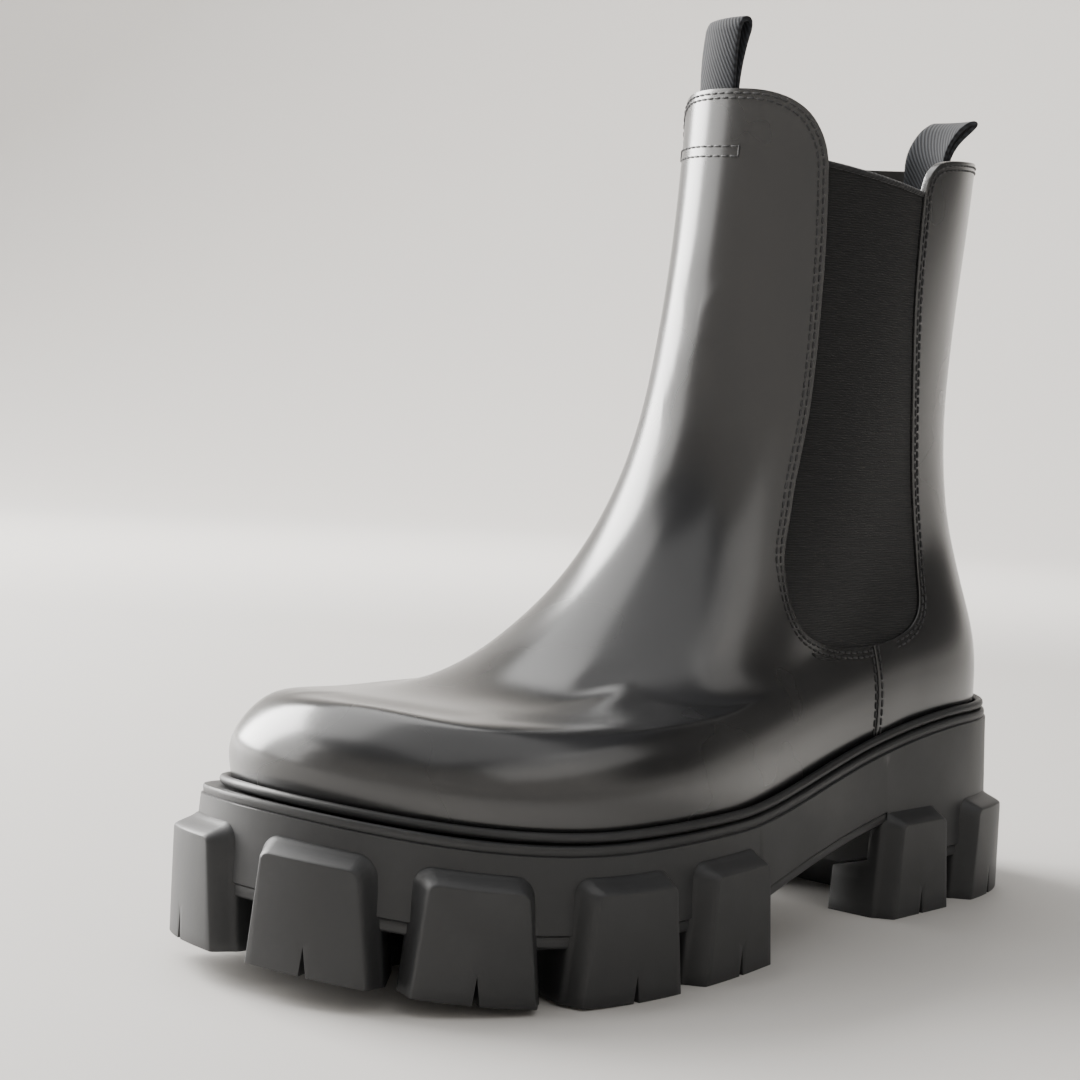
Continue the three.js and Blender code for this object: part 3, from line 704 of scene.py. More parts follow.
# Materials
class Finish:
    """A node material under a maker's name, with a few words for its textures."""

    def __init__(self, name):
        self.material = bpy.data.materials.new(name)
        self.material.use_nodes = True
        self.nodes = self.material.node_tree.nodes
        self.links = self.material.node_tree.links
        self.shader = self.nodes["Principled BSDF"]
        self.place = self.nodes.new("ShaderNodeTexCoord").outputs["Object"]

    def set(self, **values):
        for key, value in values.items():
            self.shader.inputs[key.replace("_", " ")].default_value = value
        return self

    def node(self, kind, inputs=None, **settings):
        made = self.nodes.new(kind)
        for key, value in settings.items():
            setattr(made, key, value)
        for key, value in (inputs or {}).items():
            if isinstance(value, bpy.types.NodeSocket):
                self.links.new(value, made.inputs[key])
            else:
                made.inputs[key].default_value = value
        return made

    def noise(self, scale, detail=3.0, rough=0.5, place=None):
        inputs = {"Vector": place or self.place, "Scale": scale, "Detail": detail, "Roughness": rough}
        return self.node("ShaderNodeTexNoise", inputs).outputs["Fac"]

    def stretch(self, scale, turn=(0.0, 0.0, 0.0)):
        inputs = {"Vector": self.place, "Scale": scale, "Rotation": turn}
        return self.node("ShaderNodeMapping", inputs).outputs["Vector"]

    def ranged(self, value, low, high, to_low, to_high):
        inputs = {"Value": value, "From Min": low, "From Max": high, "To Min": to_low, "To Max": to_high}
        return self.node("ShaderNodeMapRange", inputs, interpolation_type="SMOOTHSTEP").outputs["Result"]

    def bands(self, scale, direction, place=None, distortion=0.0):
        inputs = {"Vector": place or self.place, "Scale": scale, "Distortion": distortion}
        return self.node("ShaderNodeTexWave", inputs, bands_direction=direction).outputs["Fac"]

    def blend(self, share, first, second):
        made = self.node("ShaderNodeMix", data_type="RGBA")
        self.links.new(share, made.inputs["Factor"])
        for key, tint in (("A", first), ("B", second)):
            if isinstance(tint, bpy.types.NodeSocket):
                self.links.new(tint, made.inputs[key])
            else:
                made.inputs[key].default_value = (*tint, 1.0)
        return made.outputs["Result"]

    def math(self, operation, a, b=0.0):
        made = self.node("ShaderNodeMath", operation=operation)
        for socket, value in zip(made.inputs, (a, b)):
            if isinstance(value, bpy.types.NodeSocket):
                self.links.new(value, socket)
            else:
                socket.default_value = value
        return made.outputs["Value"]

    def bump(self, height, distance, strength=1.0, over=None):
        inputs = {"Height": height, "Distance": distance, "Strength": strength}
        if over:
            inputs["Normal"] = over
        return self.node("ShaderNodeBump", inputs).outputs["Normal"]

    def colour(self, socket):
        self.links.new(socket, self.shader.inputs["Base Color"])
        return self

    def roughness(self, socket):
        self.links.new(socket, self.shader.inputs["Roughness"])
        return self

    def normal(self, socket):
        self.links.new(socket, self.shader.inputs["Normal"])
        return self.material


def shade_of(colour, by):
    return tuple(min(1.0, c * by) for c in colour)


def polished_leather(colour):
    f = Finish("polished_leather").set(IOR=1.5, Specular_IOR_Level=0.7, Coat_Weight=0.45, Coat_Roughness=0.2)
    cloud = f.noise(14.0, 3.0, 0.55)
    fine = f.noise(1500.0, 3.0, 0.6)
    handled = f.noise(60.0, 5.0, 0.62)
    f.colour(f.blend(f.ranged(handled, 0.35, 0.75, 0.0, 1.0), colour, shade_of(colour, 1.4)))
    f.roughness(f.ranged(cloud, 0.3, 0.75, 0.22, 0.32))
    wave = f.bump(f.noise(26.0, 2.0, 0.4), 0.5 * MM, 0.35)
    return f.normal(f.bump(fine, 0.05 * MM, 0.18, wave))


def lining_leather(colour):
    f = Finish("lining_leather").set(Specular_IOR_Level=0.35)
    pores = f.noise(900.0, 4.0, 0.6)
    f.colour(f.blend(f.noise(40.0, 4.0), colour, shade_of(colour, 1.6)))
    f.roughness(f.ranged(pores, 0.3, 0.7, 0.55, 0.75))
    return f.normal(f.bump(pores, 0.15 * MM, 0.4))


def ribbed_elastic(colour):
    f = Finish("ribbed_elastic").set(Specular_IOR_Level=0.25, Sheen_Weight=0.12, Sheen_Roughness=0.5)
    ribs = f.bands(420.0, "Z", distortion=0.25)
    yarn = f.noise(1.0, 2.0, 0.6, f.stretch((900.0, 900.0, 2600.0)))
    height = f.math("ADD", ribs, f.math("MULTIPLY", yarn, 0.7))
    # Painted shade and painted highlight: the colour follows the ribs' height, darker in their grooves and
    # lighter on their crests, with the yarn's own random tone mixed in.
    f.colour(f.blend(f.ranged(height, 0.4, 1.5, 0.0, 1.0), shade_of(colour, 0.6), shade_of(colour, 1.4)))
    f.set(Roughness=0.9)
    return f.normal(f.bump(height, 0.2 * MM, 0.7))


def twill_tape(colour):
    f = Finish("twill_tape").set(Specular_IOR_Level=0.25, Sheen_Weight=0.12, Sheen_Roughness=0.45)
    slant = f.stretch((1.0, 1.0, 1.0), turn=(math.radians(60), 0.0, 0.0))
    ribs = f.bands(290.0, "Z", slant, 0.2)
    yarn = f.noise(1900.0, 2.0, 0.6)
    height = f.math("ADD", ribs, f.math("MULTIPLY", yarn, 0.4))
    # Painted shade and painted highlight: the colour follows the twill's height, darker in its grooves and
    # lighter on its ridges, with the yarn's own random tone mixed in.
    f.colour(f.blend(f.ranged(height, 0.3, 1.2, 0.0, 1.0), shade_of(colour, 0.55), shade_of(colour, 1.5)))
    f.set(Roughness=0.82)
    return f.normal(f.bump(height, 0.16 * MM, 0.7))


def moulded_rubber(colour):
    f = Finish("moulded_rubber").set(Specular_IOR_Level=0.42)
    grain = f.noise(1100.0, 4.0, 0.65)
    dust = f.noise(30.0, 5.0, 0.65)
    f.colour(f.blend(f.ranged(dust, 0.4, 0.8, 0.0, 1.0), colour, shade_of(colour, 1.45)))
    f.roughness(f.ranged(f.noise(18.0, 3.0), 0.3, 0.7, 0.4, 0.52))
    return f.normal(f.bump(grain, 0.07 * MM, 0.35, f.bump(f.noise(70.0, 2.0), 0.4 * MM, 0.12)))


def sewing_thread(colour):
    f = Finish("sewing_thread").set(Specular_IOR_Level=0.45)
    f.colour(f.blend(f.noise(500.0), colour, shade_of(colour, 1.9)))
    f.roughness(f.ranged(f.noise(200.0), 0.3, 0.7, 0.42, 0.6))
    return f.normal(f.bump(f.noise(3000.0), 0.1 * MM, 0.5))


def woven_binding(colour):
    f = Finish("woven_binding").set(Specular_IOR_Level=0.3, Sheen_Weight=0.2)
    weave = f.bands(420.0, "DIAGONAL")
    # Painted shade and painted highlight: the colour follows the weave's height, darker in its grooves and
    # lighter on its ridges.
    f.colour(f.blend(weave, shade_of(colour, 0.6), shade_of(colour, 1.3)))
    f.set(Roughness=0.8)
    return f.normal(f.bump(weave, 0.12 * MM, 0.6))


def floor_with_painted_shade(colour):
    f = Finish("floor_with_painted_shade").set(Specular_IOR_Level=0.3)
    axes = f.node("ShaderNodeSeparateXYZ", {"Vector": f.place}).outputs
    along, across = f.math("MULTIPLY", axes["X"], PAINTED_SHADE_SIDE[0]), f.math("MULTIPLY", axes["Y"], PAINTED_SHADE_SIDE[1])
    # Painted shade: past a distance towards one side, the backdrop fades to a dark tone for the heel to
    # mirror, in place of the unlit side of the room.
    aside = f.ranged(f.math("ADD", along, across), *PAINTED_SHADE_FADE, 0.0, 1.0)
    pale = f.blend(f.noise(1.5, 3.0), shade_of(colour, 0.985), shade_of(colour, 1.015))
    f.colour(f.blend(aside, pale, shade_of(colour, PAINTED_SHADE_TONE)))
    f.set(Roughness=0.62)
    return f.normal(f.bump(f.noise(400.0), 0.05 * MM, 0.1))


def leather_piece(last, edges, piece, columns, rows_low, rows_high, rows_foot):
    """A leather piece in two patches: below the gore's foot and between the gores."""
    size = last.size
    front = piece == "front"
    seam_x = edges.seam[0] + (-1 if front else 1) * size.seam_width / 2
    sides = []
    for inner in (False, True):
        line = edges.side_line(piece, 0.0, seam_x)
        turn = edges.corner(line)
        even = evenly(line, len(line))
        foot = last.find(evenly(even[: turn + 1], rows_foot), inner)
        edge = last.find(evenly(even[turn:], rows_high), inner)
        rise = last.upright(seam_x, foot[0, 1], inner, rows_low)
        rise[-1] = foot[0]
        if front and inner:
            foot[:, 0] += 1
            edge[:, 0] += 1
            rise[:, 0] += 1
        sides.append((rise, foot, edge))
    if not front:
        sides.reverse()
    (rise_a, foot_a, edge_a), (rise_b, foot_b, edge_b) = sides
    across = np.linspace(0, 1, columns)[:, None]
    crossing = (1 - across) * foot_a[-1] + across * foot_b[-1]
    collar = (1 - across) * edge_a[-1] + across * edge_b[-1]
    collar[1:-1, 1] = last.under(collar[1:-1, 0], edges.top(piece))
    upper = patch(edge_a, edge_b, crossing, collar)
    top = np.concatenate([foot_a[:-1], crossing, foot_b[-2::-1]])
    floor = np.zeros_like(top)
    floor[:, 0] = even_girth(last, rise_a[0, 0], rise_b[0, 0], top)
    lower = patch(rise_a, rise_b, floor, top)
    made = []
    for name, places in (("low", lower), ("high", upper)):
        around, high = places[..., 0], places[..., 1]
        out = np.zeros(around.shape)
        if not front:
            point = last.face(around, high)
            out = size.seam_proud * smooth(seam_x - LAP_START, seam_x - LAP_END, point[..., 0])
            out = out * (1 - smooth(LAP_FADE, 2 * LAP_FADE, point[..., 2] - edges.seam[1]))
        points = last.upper(around, high, out)
        made.append(laid_grid(f"{piece}_{name}", points[:, ::-1]))
    return in_edit(joined(f"{piece}_leather", made), weld)


def even_girth(last, start, end, top):
    """Places round the foot for the columns of a patch: even girth, spaced as its top edge is."""
    around = np.linspace(start, end, 400)
    foot_way = travelled(last.face(around, np.zeros(400)))
    top_way = travelled(last.face(top[:, 0], top[:, 1]))
    share = 0.35 * top_way / top_way[-1] + 0.65 * np.linspace(0, 1, len(top))
    return np.interp(share * foot_way[-1], foot_way, around)


def copies_along(name, places, directions, length_, thick):
    """One short rounded stitch, copied to each place and turned along its direction."""
    clear_selection()
    bpy.ops.mesh.primitive_uv_sphere_add(segments=6, ring_count=5, radius=1.0, rotation=(0, math.pi / 2, 0))
    bpy.ops.object.transform_apply(location=False, rotation=True, scale=True)
    stitch = bpy.context.object
    shape = np.array([v.co for v in stitch.data.vertices])
    faces = [tuple(p.vertices) for p in stitch.data.polygons]
    bpy.data.objects.remove(stitch)
    shape[:, 0] = np.sign(shape[:, 0]) * abs(shape[:, 0]) ** 0.6 * length_ / 2
    shape[:, 1:] *= thick / 2
    points, polygons = [], []
    for place, ahead in zip(places, directions):
        ahead = Vector(ahead).normalized()
        turn = np.array(ahead.to_track_quat("X", "Z").to_matrix())
        base = len(points) * len(shape)
        points.append(shape @ turn.T + place)
        polygons += [tuple(base + i for i in face) for face in faces]
    mesh = bpy.data.meshes.new(name)
    mesh.from_pydata(np.concatenate(points), [], polygons)
    piece = bpy.data.objects.new(name, mesh)
    bpy.context.scene.collection.objects.link(piece)
    return piece


def stitch_row(last, places, pitch, out):
    """Places and directions of the stitches of one row along a line on the upper."""
    line = last.upper(places[:, 0], places[:, 1], out)
    way = travelled(line)
    count = max(2, int(round(way[-1] / pitch)))
    at = (np.arange(count) + 0.5) * way[-1] / count
    middle = np.stack([np.interp(at, way, c) for c in line.T], -1)
    reach = pitch / 4
    ahead = [np.interp(at + reach, way, c) - np.interp(at - reach, way, c) for c in line.T]
    ahead = np.stack(ahead, -1)
    return middle, ahead


def edge_places(last, edges, piece, inset, seam_x):
    """The whole edge of a leather piece, from the seam of one side over the top to the other."""
    front = piece == "front"
    line = evenly(edges.side_line(piece, inset, seam_x), 260)
    outer = last.find(line, False)
    inner = last.find(line, True)
    if front:
        inner[:, 0] += 1
        first, second = outer, inner
    else:
        first, second = inner, outer
    across = np.linspace(0, 1, 120)[1:-1, None]
    top = (1 - across) * first[-1] + across * second[-1]
    top[:, 1] = last.under(top[:, 0], edges.top(piece, inset))
    return np.concatenate([first, top, second[::-1]])


class BootOperator:
    """What every operator of the boot shares."""

    bl_options = {"REGISTER", "UNDO"}

    def ready(self, context):
        last = Last(context.scene.boot_sizes)
        return last, last.size, context.scene.boot_colours


class BOOT_OT_leather(BootOperator, Operator):
    """The front and the back piece of the polished upper"""

    bl_idname = "boot.leather"
    bl_label = "Leather pieces"

    def execute(self, context):
        last, size, colours = self.ready(context)
        edges = Edges(last)
        face, lining = polished_leather(colours.leather), lining_leather(colours.lining)
        for piece, counts in LEATHER_ROWS.items():
            shell = leather_piece(last, edges, piece, *counts)
            shell.data.materials.append(face)
            shell.data.materials.append(lining)
            modify(
                shell,
                "SOLIDIFY",
                thickness=size.upper_wall,
                offset=-1,
                use_quality_normals=True,
                material_offset=1,
                material_offset_rim=0,
            )
            soften(shell, 0.7 * MM, 3, 50)
            finish_piece(shell, "polished_leather", "upper")
        return {"FINISHED"}


class BOOT_OT_gores(BootOperator, Operator):
    """The two elastic panels and the woven binding over their tops"""

    bl_idname = "boot.gores"
    bl_label = "Elastic gores"

    def execute(self, context):
        last, size, colours = self.ready(context)
        edges = Edges(last)
        cloth, trim = ribbed_elastic(colours.elastic), woven_binding(colours.binding)
        line = grown(edges.gore, GORE_HIDDEN)
        turned = evenly(line, len(line))
        lowest = np.argmin(turned[:, 1])
        ahead = np.gradient(turned, axis=0)
        climbs = abs(ahead[:, 1]) > abs(ahead[:, 0])
        first = lowest - np.argmax(climbs[lowest::-1])
        second = lowest + np.argmax(climbs[lowest:])
        level = np.interp(turned[:, 0], *edges.gore_top.T)
        front_top = np.argmax(turned[:, 1] < level)
        rear_top = len(turned) - 1 - np.argmax((turned[:, 1] < level)[::-1])
        for node, inner in (("gore_outer", False), ("gore_inner", True)):
            front = last.find(evenly(turned[front_top : first + 1][::-1], 90), inner)
            rear = last.find(evenly(turned[second : rear_top + 1], 90), inner)
            foot = last.find(evenly(turned[first : second + 1][::-1], 44), inner)
            rear[0], front[0] = foot[0], foot[-1]
            across = np.linspace(0, 1, 44)[:, None]
            top = (1 - across) * rear[-1] + across * front[-1]
            top[:, 1] = last.under(top[:, 0], lambda x: np.interp(x, *edges.gore_top.T))
            places = patch(rear, front, foot, top)
            points = last.upper(places[..., 0], places[..., 1], -size.gore_recess)
            panel = laid_grid(node + "_cloth", points if inner else points[:, ::-1])
            panel.data.materials.append(cloth)
            modify(panel, "SOLIDIFY", thickness=size.gore_wall, offset=-1, use_quality_normals=True)
            finish_piece(panel, "elastic", node)
            self.bind(last, size, node + "_binding", top, trim)
        return {"FINISHED"}

    def bind(self, last, size, name, places, trim):
        """A narrow tape folded over the top edge of a gore."""
        half = size.gore_wall / 2
        section = [(half + 0.35 * MM, -HEM_DROP), (half + 0.4 * MM, -0.3 * MM), (half * 0.6, 0.35 * MM)]
        section += [(0.0, 0.5 * MM)] + [(-a, b) for a, b in reversed(section)]
        rows = []
        for aside, up in section:
            line = last.upper(places[:, 0], places[:, 1], aside - size.gore_recess - half)
            line[:, 2] += up
            rows.append(line)
        tape = laid_grid(name, np.array(rows))
        tape.data.materials.append(trim)
        in_edit(tape, outside)
        modify(tape, "SOLIDIFY", thickness=0.3 * MM, offset=-1)
        finish_piece(tape, "elastic")


class BOOT_OT_stitching(BootOperator, Operator):
    """All rows of stitches on the leather"""

    bl_idname = "boot.stitching"
    bl_label = "Stitching"

    def execute(self, context):
        last, size, colours = self.ready(context)
        edges = Edges(last)
        proud = size.thread * THREAD_PROUD
        rows = []
        for places in TAB_BOX:
            rows.append(stitch_row(last, smooth_line(places, 60), size.stitch_pitch, proud))
        seam_x = edges.seam[0] + size.seam_width / 2
        for piece in ("front", "back"):
            for inset in EDGE_ROWS:
                places = edge_places(last, edges, piece, inset, seam_x)
                rows.append(stitch_row(last, places, size.stitch_pitch, proud))
        for inner in (False, True):
            foot = last.find(np.array([[edges.seam[0], edges.seam[1]]]), inner)[0, 1]
            for ahead_of_seam in SEAM_ROWS:
                x = edges.seam[0] + size.seam_width / 2 + ahead_of_seam
                places = last.upright(x, foot, inner, 80)[6:]
                lap = size.seam_proud if ahead_of_seam < 0 else 0.0
                rows.append(stitch_row(last, places, size.stitch_pitch, lap + proud))
        middles = np.concatenate([row[0] for row in rows])
        ahead = np.concatenate([row[1] for row in rows])
        long = size.stitch_pitch * STITCH_FILL
        thread = copies_along("leather_stitching", middles, ahead, long, size.thread)
        thread.data.materials.append(sewing_thread(colours.thread))
        finish_piece(thread, "polished_leather")
        return {"FINISHED"}


class BOOT_OT_pull_loops(BootOperator, Operator):
    """The two folded tapes at the collar"""

    bl_idname = "boot.pull_loops"
    bl_label = "Pull loops"

    def execute(self, context):
        last, size, colours = self.ready(context)
        cloth = twill_tape(colours.tape)
        inset = size.upper_wall + 2 * size.clearance + size.tape_thickness
        low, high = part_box("pull_loop_front")
        front_x = last.face(0.5, 0.98)[0] - inset
        back_x = last.face(0.0, 0.9)[0] + inset
        top_front = last.leg_base + size.front_rise
        top_back = last.side(BACK_TOP[0])[1]
        foot = Vector((front_x, (low.y + high.y) / 2, top_front))
        self.loop(last, "front", foot, size.front_loop_rise, FRONT_LOOP_LEAN, 1, cloth)
        foot = Vector((back_x, last.place[1], top_back))
        self.loop(last, "back", foot, size.back_loop_rise, BACK_LOOP_LEAN, -1, cloth)
        return {"FINISHED"}

    def loop(self, last, end, foot, rise, lean, facing, cloth):
        """A tape that runs up, folds over and runs down again, bowed as the collar is."""
        size = last.size
        thick, gap = size.tape_thickness, size.loop_open
        fold = 2 * gap
        half = [(-size.tape_tuck, 0.52), (-size.tape_tuck / 2, 0.52), (0.0, 0.56), (rise * 0.25, 0.8)]
        half += [(rise * 0.5, 1.15), (rise - fold * 1.6, 1.5), (rise - fold, 1.62)]
        half += [(rise - fold * 0.45, 1.25), (rise - thick / 2 - 0.12 * MM, 0.62)]
        path = [(up, wide * thick) for up, wide in half]
        path += [(rise - thick / 2, 0.0)] + [(up, -wide) for up, wide in reversed(path)]
        path = smooth_line(path, 140)
        across = np.linspace(-0.5, 0.5, 13) * size.tape_width
        bow_long = size.collar_length / 2 - size.upper_wall
        bow_wide = size.collar_width / 2 - size.upper_wall
        points = np.zeros((len(path), len(across), 3))
        up = path[:, 0][:, None]
        aside = across[None] + foot.y - last.place[1]
        bow = bow_long * (1 - np.sqrt(1 - (aside / bow_wide) ** 2))
        bend = lean * np.clip(up / rise, 0, 1) ** 2
        points[..., 0] = foot.x - facing * (path[:, 1][:, None] + bow) + bend + last.place[0]
        points[..., 1] = aside + last.place[1]
        points[..., 2] = foot.z + up
        tape = laid_grid(f"{end}_pull_loop", points)
        in_edit(tape, outside)
        tape.data.materials.append(cloth)
        modify(tape, "SOLIDIFY", thickness=thick * 0.94, offset=0, use_even_offset=True)
        soften(tape, 0.35 * MM, 2, 60)
        finish_piece(tape, "twill_tape", f"pull_loop_{end}")


class BOOT_OT_rand(BootOperator, Operator):
    """The round bead along the join of upper and sole"""

    bl_idname = "boot.rand"
    bl_label = "Rand"

    def execute(self, context):
        last, size, colours = self.ready(context)
        radius = size.rand_thickness / 2
        around = np.linspace(0, 1, 361)
        middle = radius / (SECTIONS[1][5] * size.front_rise * (len(SECTIONS) - 1))
        foot = last.face(around, np.full(361, middle))
        out = last.outward(around, np.full(361, middle))[:, :2]
        out /= np.linalg.norm(out, axis=1)[:, None]
        turn = np.linspace(0, 2 * math.pi, 15)
        away = radius + 2 * size.clearance + np.cos(turn)[:, None] * radius
        points = np.zeros((15, 361, 3))
        points[..., :2] = foot[None, :, :2] + out[None] * away[..., None]
        points[..., 2] = last.lip(points[..., 0]) + size.clearance + radius + np.sin(turn)[:, None] * radius
        bead = laid_grid("rand_bead", points + last.place)
        in_edit(bead, weld, outside)
        bead.data.materials.append(moulded_rubber(shade_of(colours.rubber, 0.8)))
        finish_piece(bead, "rand_rubber", "rand")
        return {"FINISHED"}


class BOOT_OT_footbed(BootOperator, Operator):
    """The insole board inside the upper"""

    bl_idname = "boot.footbed"
    bl_label = "Footbed"

    def execute(self, context):
        last, size, colours = self.ready(context)
        inside = size.upper_wall + 2 * size.clearance
        outer = np.linspace(0, 0.5, 60)
        left = last.upper(outer, np.zeros(60), -inside)
        right = last.upper(-outer, np.zeros(60), -inside)
        share = np.linspace(0, 1, 15)[:, None, None]
        points = (1 - share) * right[None] + share * left[None]
        points[..., 2] = last.lip(points[..., 0] - last.place[0]) + size.clearance + size.insole_thickness
        board = laid_grid("footbed", points)
        board.data.materials.append(lining_leather(shade_of(colours.lining, 1.3)))
        in_edit(board, weld, outside)
        if board.data.polygons[len(board.data.polygons) // 2].normal.z < 0:
            in_edit(board, flip)
        modify(board, "SOLIDIFY", thickness=size.insole_thickness * 0.9, offset=-1)
        finish_piece(board, "insole_board", "insole")
        return {"FINISHED"}


class BOOT_OT_sole(BootOperator, Operator):
    """The moulded sole: wall, arch, lugs and tread"""

    bl_idname = "boot.sole"
    bl_label = "Sole"

    def execute(self, context):
        last, size, colours = self.ready(context)
        rubber = moulded_rubber(colours.rubber)
        body = self.body(last, size)
        lugs = joined("side_lugs", [self.fitted(last, size, row) for row in LUGS])
        bars = joined("tread_bars", [self.bar(last, size, row) for row in BARS])
        for piece in (body, lugs, bars):
            piece.data.materials.append(rubber)
            finish_piece(piece, "sole_rubber", "sole_unit", smooth_angle=35)
        return {"FINISHED"}

    def body(self, last, size):
        """The wall from its foot to its lip, closed below and above."""
        x_line = last.wall_line[:, 0]
        top = np.argmax(x_line)
        share = last.wall_way / last.girth
        spread = (1 - np.cos(np.linspace(0, math.pi, 180))) / 2
        stations = x_line[0] + spread * (x_line[top] - x_line[0])
        step = 0.05 * MM
        for edge in (size.breast, size.arch_front):
            stations = stations[abs(stations - edge) > 0.7 * MM]
            stations = np.append(stations, [edge - step, edge + step])
        stations = np.sort(stations)[1:-1]
        outer = np.interp(stations, x_line[: top + 1], share[: top + 1])
        inner = np.interp(-stations, -x_line[top:], share[top:])
        ways = np.concatenate([[0.0], outer, [share[top]], inner[::-1], [1.0]])
        band, band_top = size.wall_flare - size.step_depth, size.foot_band
        lip_low = size.top_band
        profile = [(band - 6 * MM, "foot", 0.0), (band - 1.2 * MM, "foot", 0.0)]
        profile += [(band - 0.4 * MM, "foot", 0.15 * MM), (band, "foot", 0.7 * MM)]
        profile += [(band, "foot", 1.8 * MM), (band, "foot", band_top - 0.7 * MM)]
        profile += [(band - 0.25 * MM, "foot", band_top - 0.3 * MM), (band + 0.1 * MM, "foot", band_top)]
        profile += [(size.wall_flare, "foot", band_top + 0.35 * MM)]
        for share_up in (0.1, 0.25, 0.4, 0.55, 0.7, 0.85, 0.95):
            profile.append((size.wall_flare * (1 - share_up), "between", share_up))
        profile += [(0.0, "lip", -lip_low), (-0.2 * MM, "lip", -lip_low + 0.15 * MM)]
        profile += [(-0.75 * MM, "lip", -lip_low + 0.3 * MM), (-0.6 * MM, "lip", -lip_low + 0.7 * MM)]
        profile += [(-size.step_depth, "lip", -1.3 * MM), (-size.step_depth, "lip", -0.8 * MM)]
        profile += [(-0.75 * MM, "lip", -0.25 * MM), (-1.4 * MM, "lip", 0.0), (-2.4 * MM, "lip", 0.0)]
        profile += [(-8.5 * MM, "lip", -0.3 * MM)]
        rows = []
        for out, base, up in profile:
            point = last.wall(ways, out)
            x = point[:, 0]
            foot, lip = self.foot(last, size, last.wall(ways, 0.0)[:, 0]), last.lip(x)
            if base == "foot":
                z = foot + up
            elif base == "lip":
                z = lip + up
            else:
                low, high = foot + band_top + 0.35 * MM, lip - lip_low
                z = low + (high - low) * up
            rows.append(np.column_stack([point, z]))
        rows = np.array(rows) + last.place
        half = len(ways) // 2 + 1
        wall = laid_grid("wall", rows[:, ::-1])
        floor = self.cap("floor", rows[0], half, False)
        lid = self.cap("lid", rows[-1], half, True)
        return in_edit(joined("sole_body", [wall, floor, lid]), weld)

    def cap(self, name, row, half, up):
        """A flat skin from the outer to the inner edge of a closed row."""
        outer, inner = row[:half], row[::-1][:half]
        share = np.linspace(0, 1, 5)[:, None, None]
        points = (1 - share) * outer[None] + share * inner[None]
        return laid_grid(name, points[::-1] if up else points)

    def foot(self, last, size, x):
        """Height of the wall's lower edge: the tread's depth, or the slant of the arch."""
        level = size.tread_depth + last.spring(x)
        share = (x - size.breast) / (size.arch_front - size.breast)
        arch = size.arch_height + (size.tread_depth + 1.5 * MM - size.arch_height) * share
        return np.where((share > 0) & (share < 1), arch, level)

    def fitted(self, last, size, row):
        """A lug in its own straight space, notched and softened, then bent round the wall."""
        at, wide = row
        half = wide * size.ball_width / 2
        sunk = 3 * MM
        rings = []
        for grow, share in LUG_EDGE:
            line = self.face_line(size, half, grow)
            out = np.full(len(line), share * size.lug_proud)
            rings.append(np.column_stack([line[:, 0], out, line[:, 1]]))
        deep = rings[0].copy()
        deep[:, 1] = np.where(deep[:, 2] > size.tread_depth + sunk, -sunk, -size.lug_reach)
        skin = np.array([deep] + rings)
        caps = []
        for ring in (skin[0], skin[-1]):
            side = LUG_SIDE_POINTS
            across = np.linspace(0, 1, len(ring) - 2 * side)[:, None]
            foot = (1 - across) * ring[0] + across * ring[-1]
            top = ring[side : len(ring) - side]
            caps.append(patch(ring[: side + 1], ring[: -side - 2 : -1], foot, top))
        across = np.linspace(0, 1, skin.shape[1] - 2 * LUG_SIDE_POINTS)[None, :, None]
        caps.append((1 - across) * skin[:, :1] + across * skin[:, -1:])
        lug = joined("lug", [laid_grid("lug", points) for points in [skin] + caps])
        in_edit(lug, weld, outside)
        self.cut_notch(lug, size)
        soften(lug, 0.5 * MM, 2, 52)
        flat = np.array([v.co for v in lug.data.vertices])
        share = at + flat[:, 0] / last.girth
        point = last.wall(share, flat[:, 1])
        lift = last.spring(last.wall(share, 0.0)[:, 0])
        placed = np.column_stack([point, flat[:, 2] + lift]) + last.place
        lug.data.vertices.foreach_set("co", placed.ravel())
        return lug

    def face_line(self, size, half, grow):
        """Outline of a lug's face, grown outwards: up one side, over the top, down the other."""
        low, side = half - 0.6 * MM, size.lug_facet + 1.0 * MM
        top_high = size.lug_height - size.lug_shoulder
        top = low * (1 + (size.lug_taper - 1) * top_high / size.lug_height)
        low, top = low + side * grow, top + side * grow
        high = top_high + size.lug_shoulder * grow
        radius = (2.2 + 3 * grow) * MM
        lean = math.atan2(low - top, high)
        tangent = radius * math.tan((math.pi / 2 - lean) / 2)
        corner = np.array([top, high])
        start = corner + tangent * np.array([math.sin(lean), -math.cos(lean)])
        centre = np.array([top - tangent, high - radius])
        turn = np.linspace(lean, math.pi / 2, 9)
        bow = centre + radius * np.column_stack([np.cos(turn), np.sin(turn)])
        rise = np.linspace(0, 1, LUG_SIDE_POINTS - 3)[:-1, None]
        up = (1 - rise) * np.array([low, 0.0]) + rise * start
        over = np.column_stack([np.linspace(centre[0], -centre[0], 9)[1:-1], np.full(7, high)])
        one = np.concatenate([up, bow])
        return np.concatenate([one, over, one[::-1] * (-1, 1)]) * (-1, 1)

    def cut_notch(self, lug, size):
        """Cuts the wedge up into the foot of a lug."""
        clear_selection()
        bpy.ops.mesh.primitive_cone_add(vertices=3, radius1=1.0, radius2=0.35, depth=2.0)
        wedge = bpy.context.object
        ends = ((size.lug_proud + 1 * MM, 1.0), (-size.lug_reach / 5, 0.35))
        low = sorted((v for v in wedge.data.vertices if v.co.z < 0), key=lambda v: v.co.x)
        top = sorted((v for v in wedge.data.vertices if v.co.z > 0), key=lambda v: v.co.x)
        for ring, (out, share) in zip((low, top), ends):
            tip = max(ring, key=lambda v: v.co.y)
            others = sorted((v for v in ring if v is not tip), key=lambda v: v.co.x)
            tip.co = (0.0, out, size.notch_height * share)
            others[0].co = (-size.notch_width * share / 2, out, -1 * MM)
            others[1].co = (size.notch_width * share / 2, out, -1 * MM)
        in_edit(wedge, outside)
        modify(lug, "BOOLEAN", operation="DIFFERENCE", object=wedge, solver="EXACT")
        bpy.data.objects.remove(wedge)

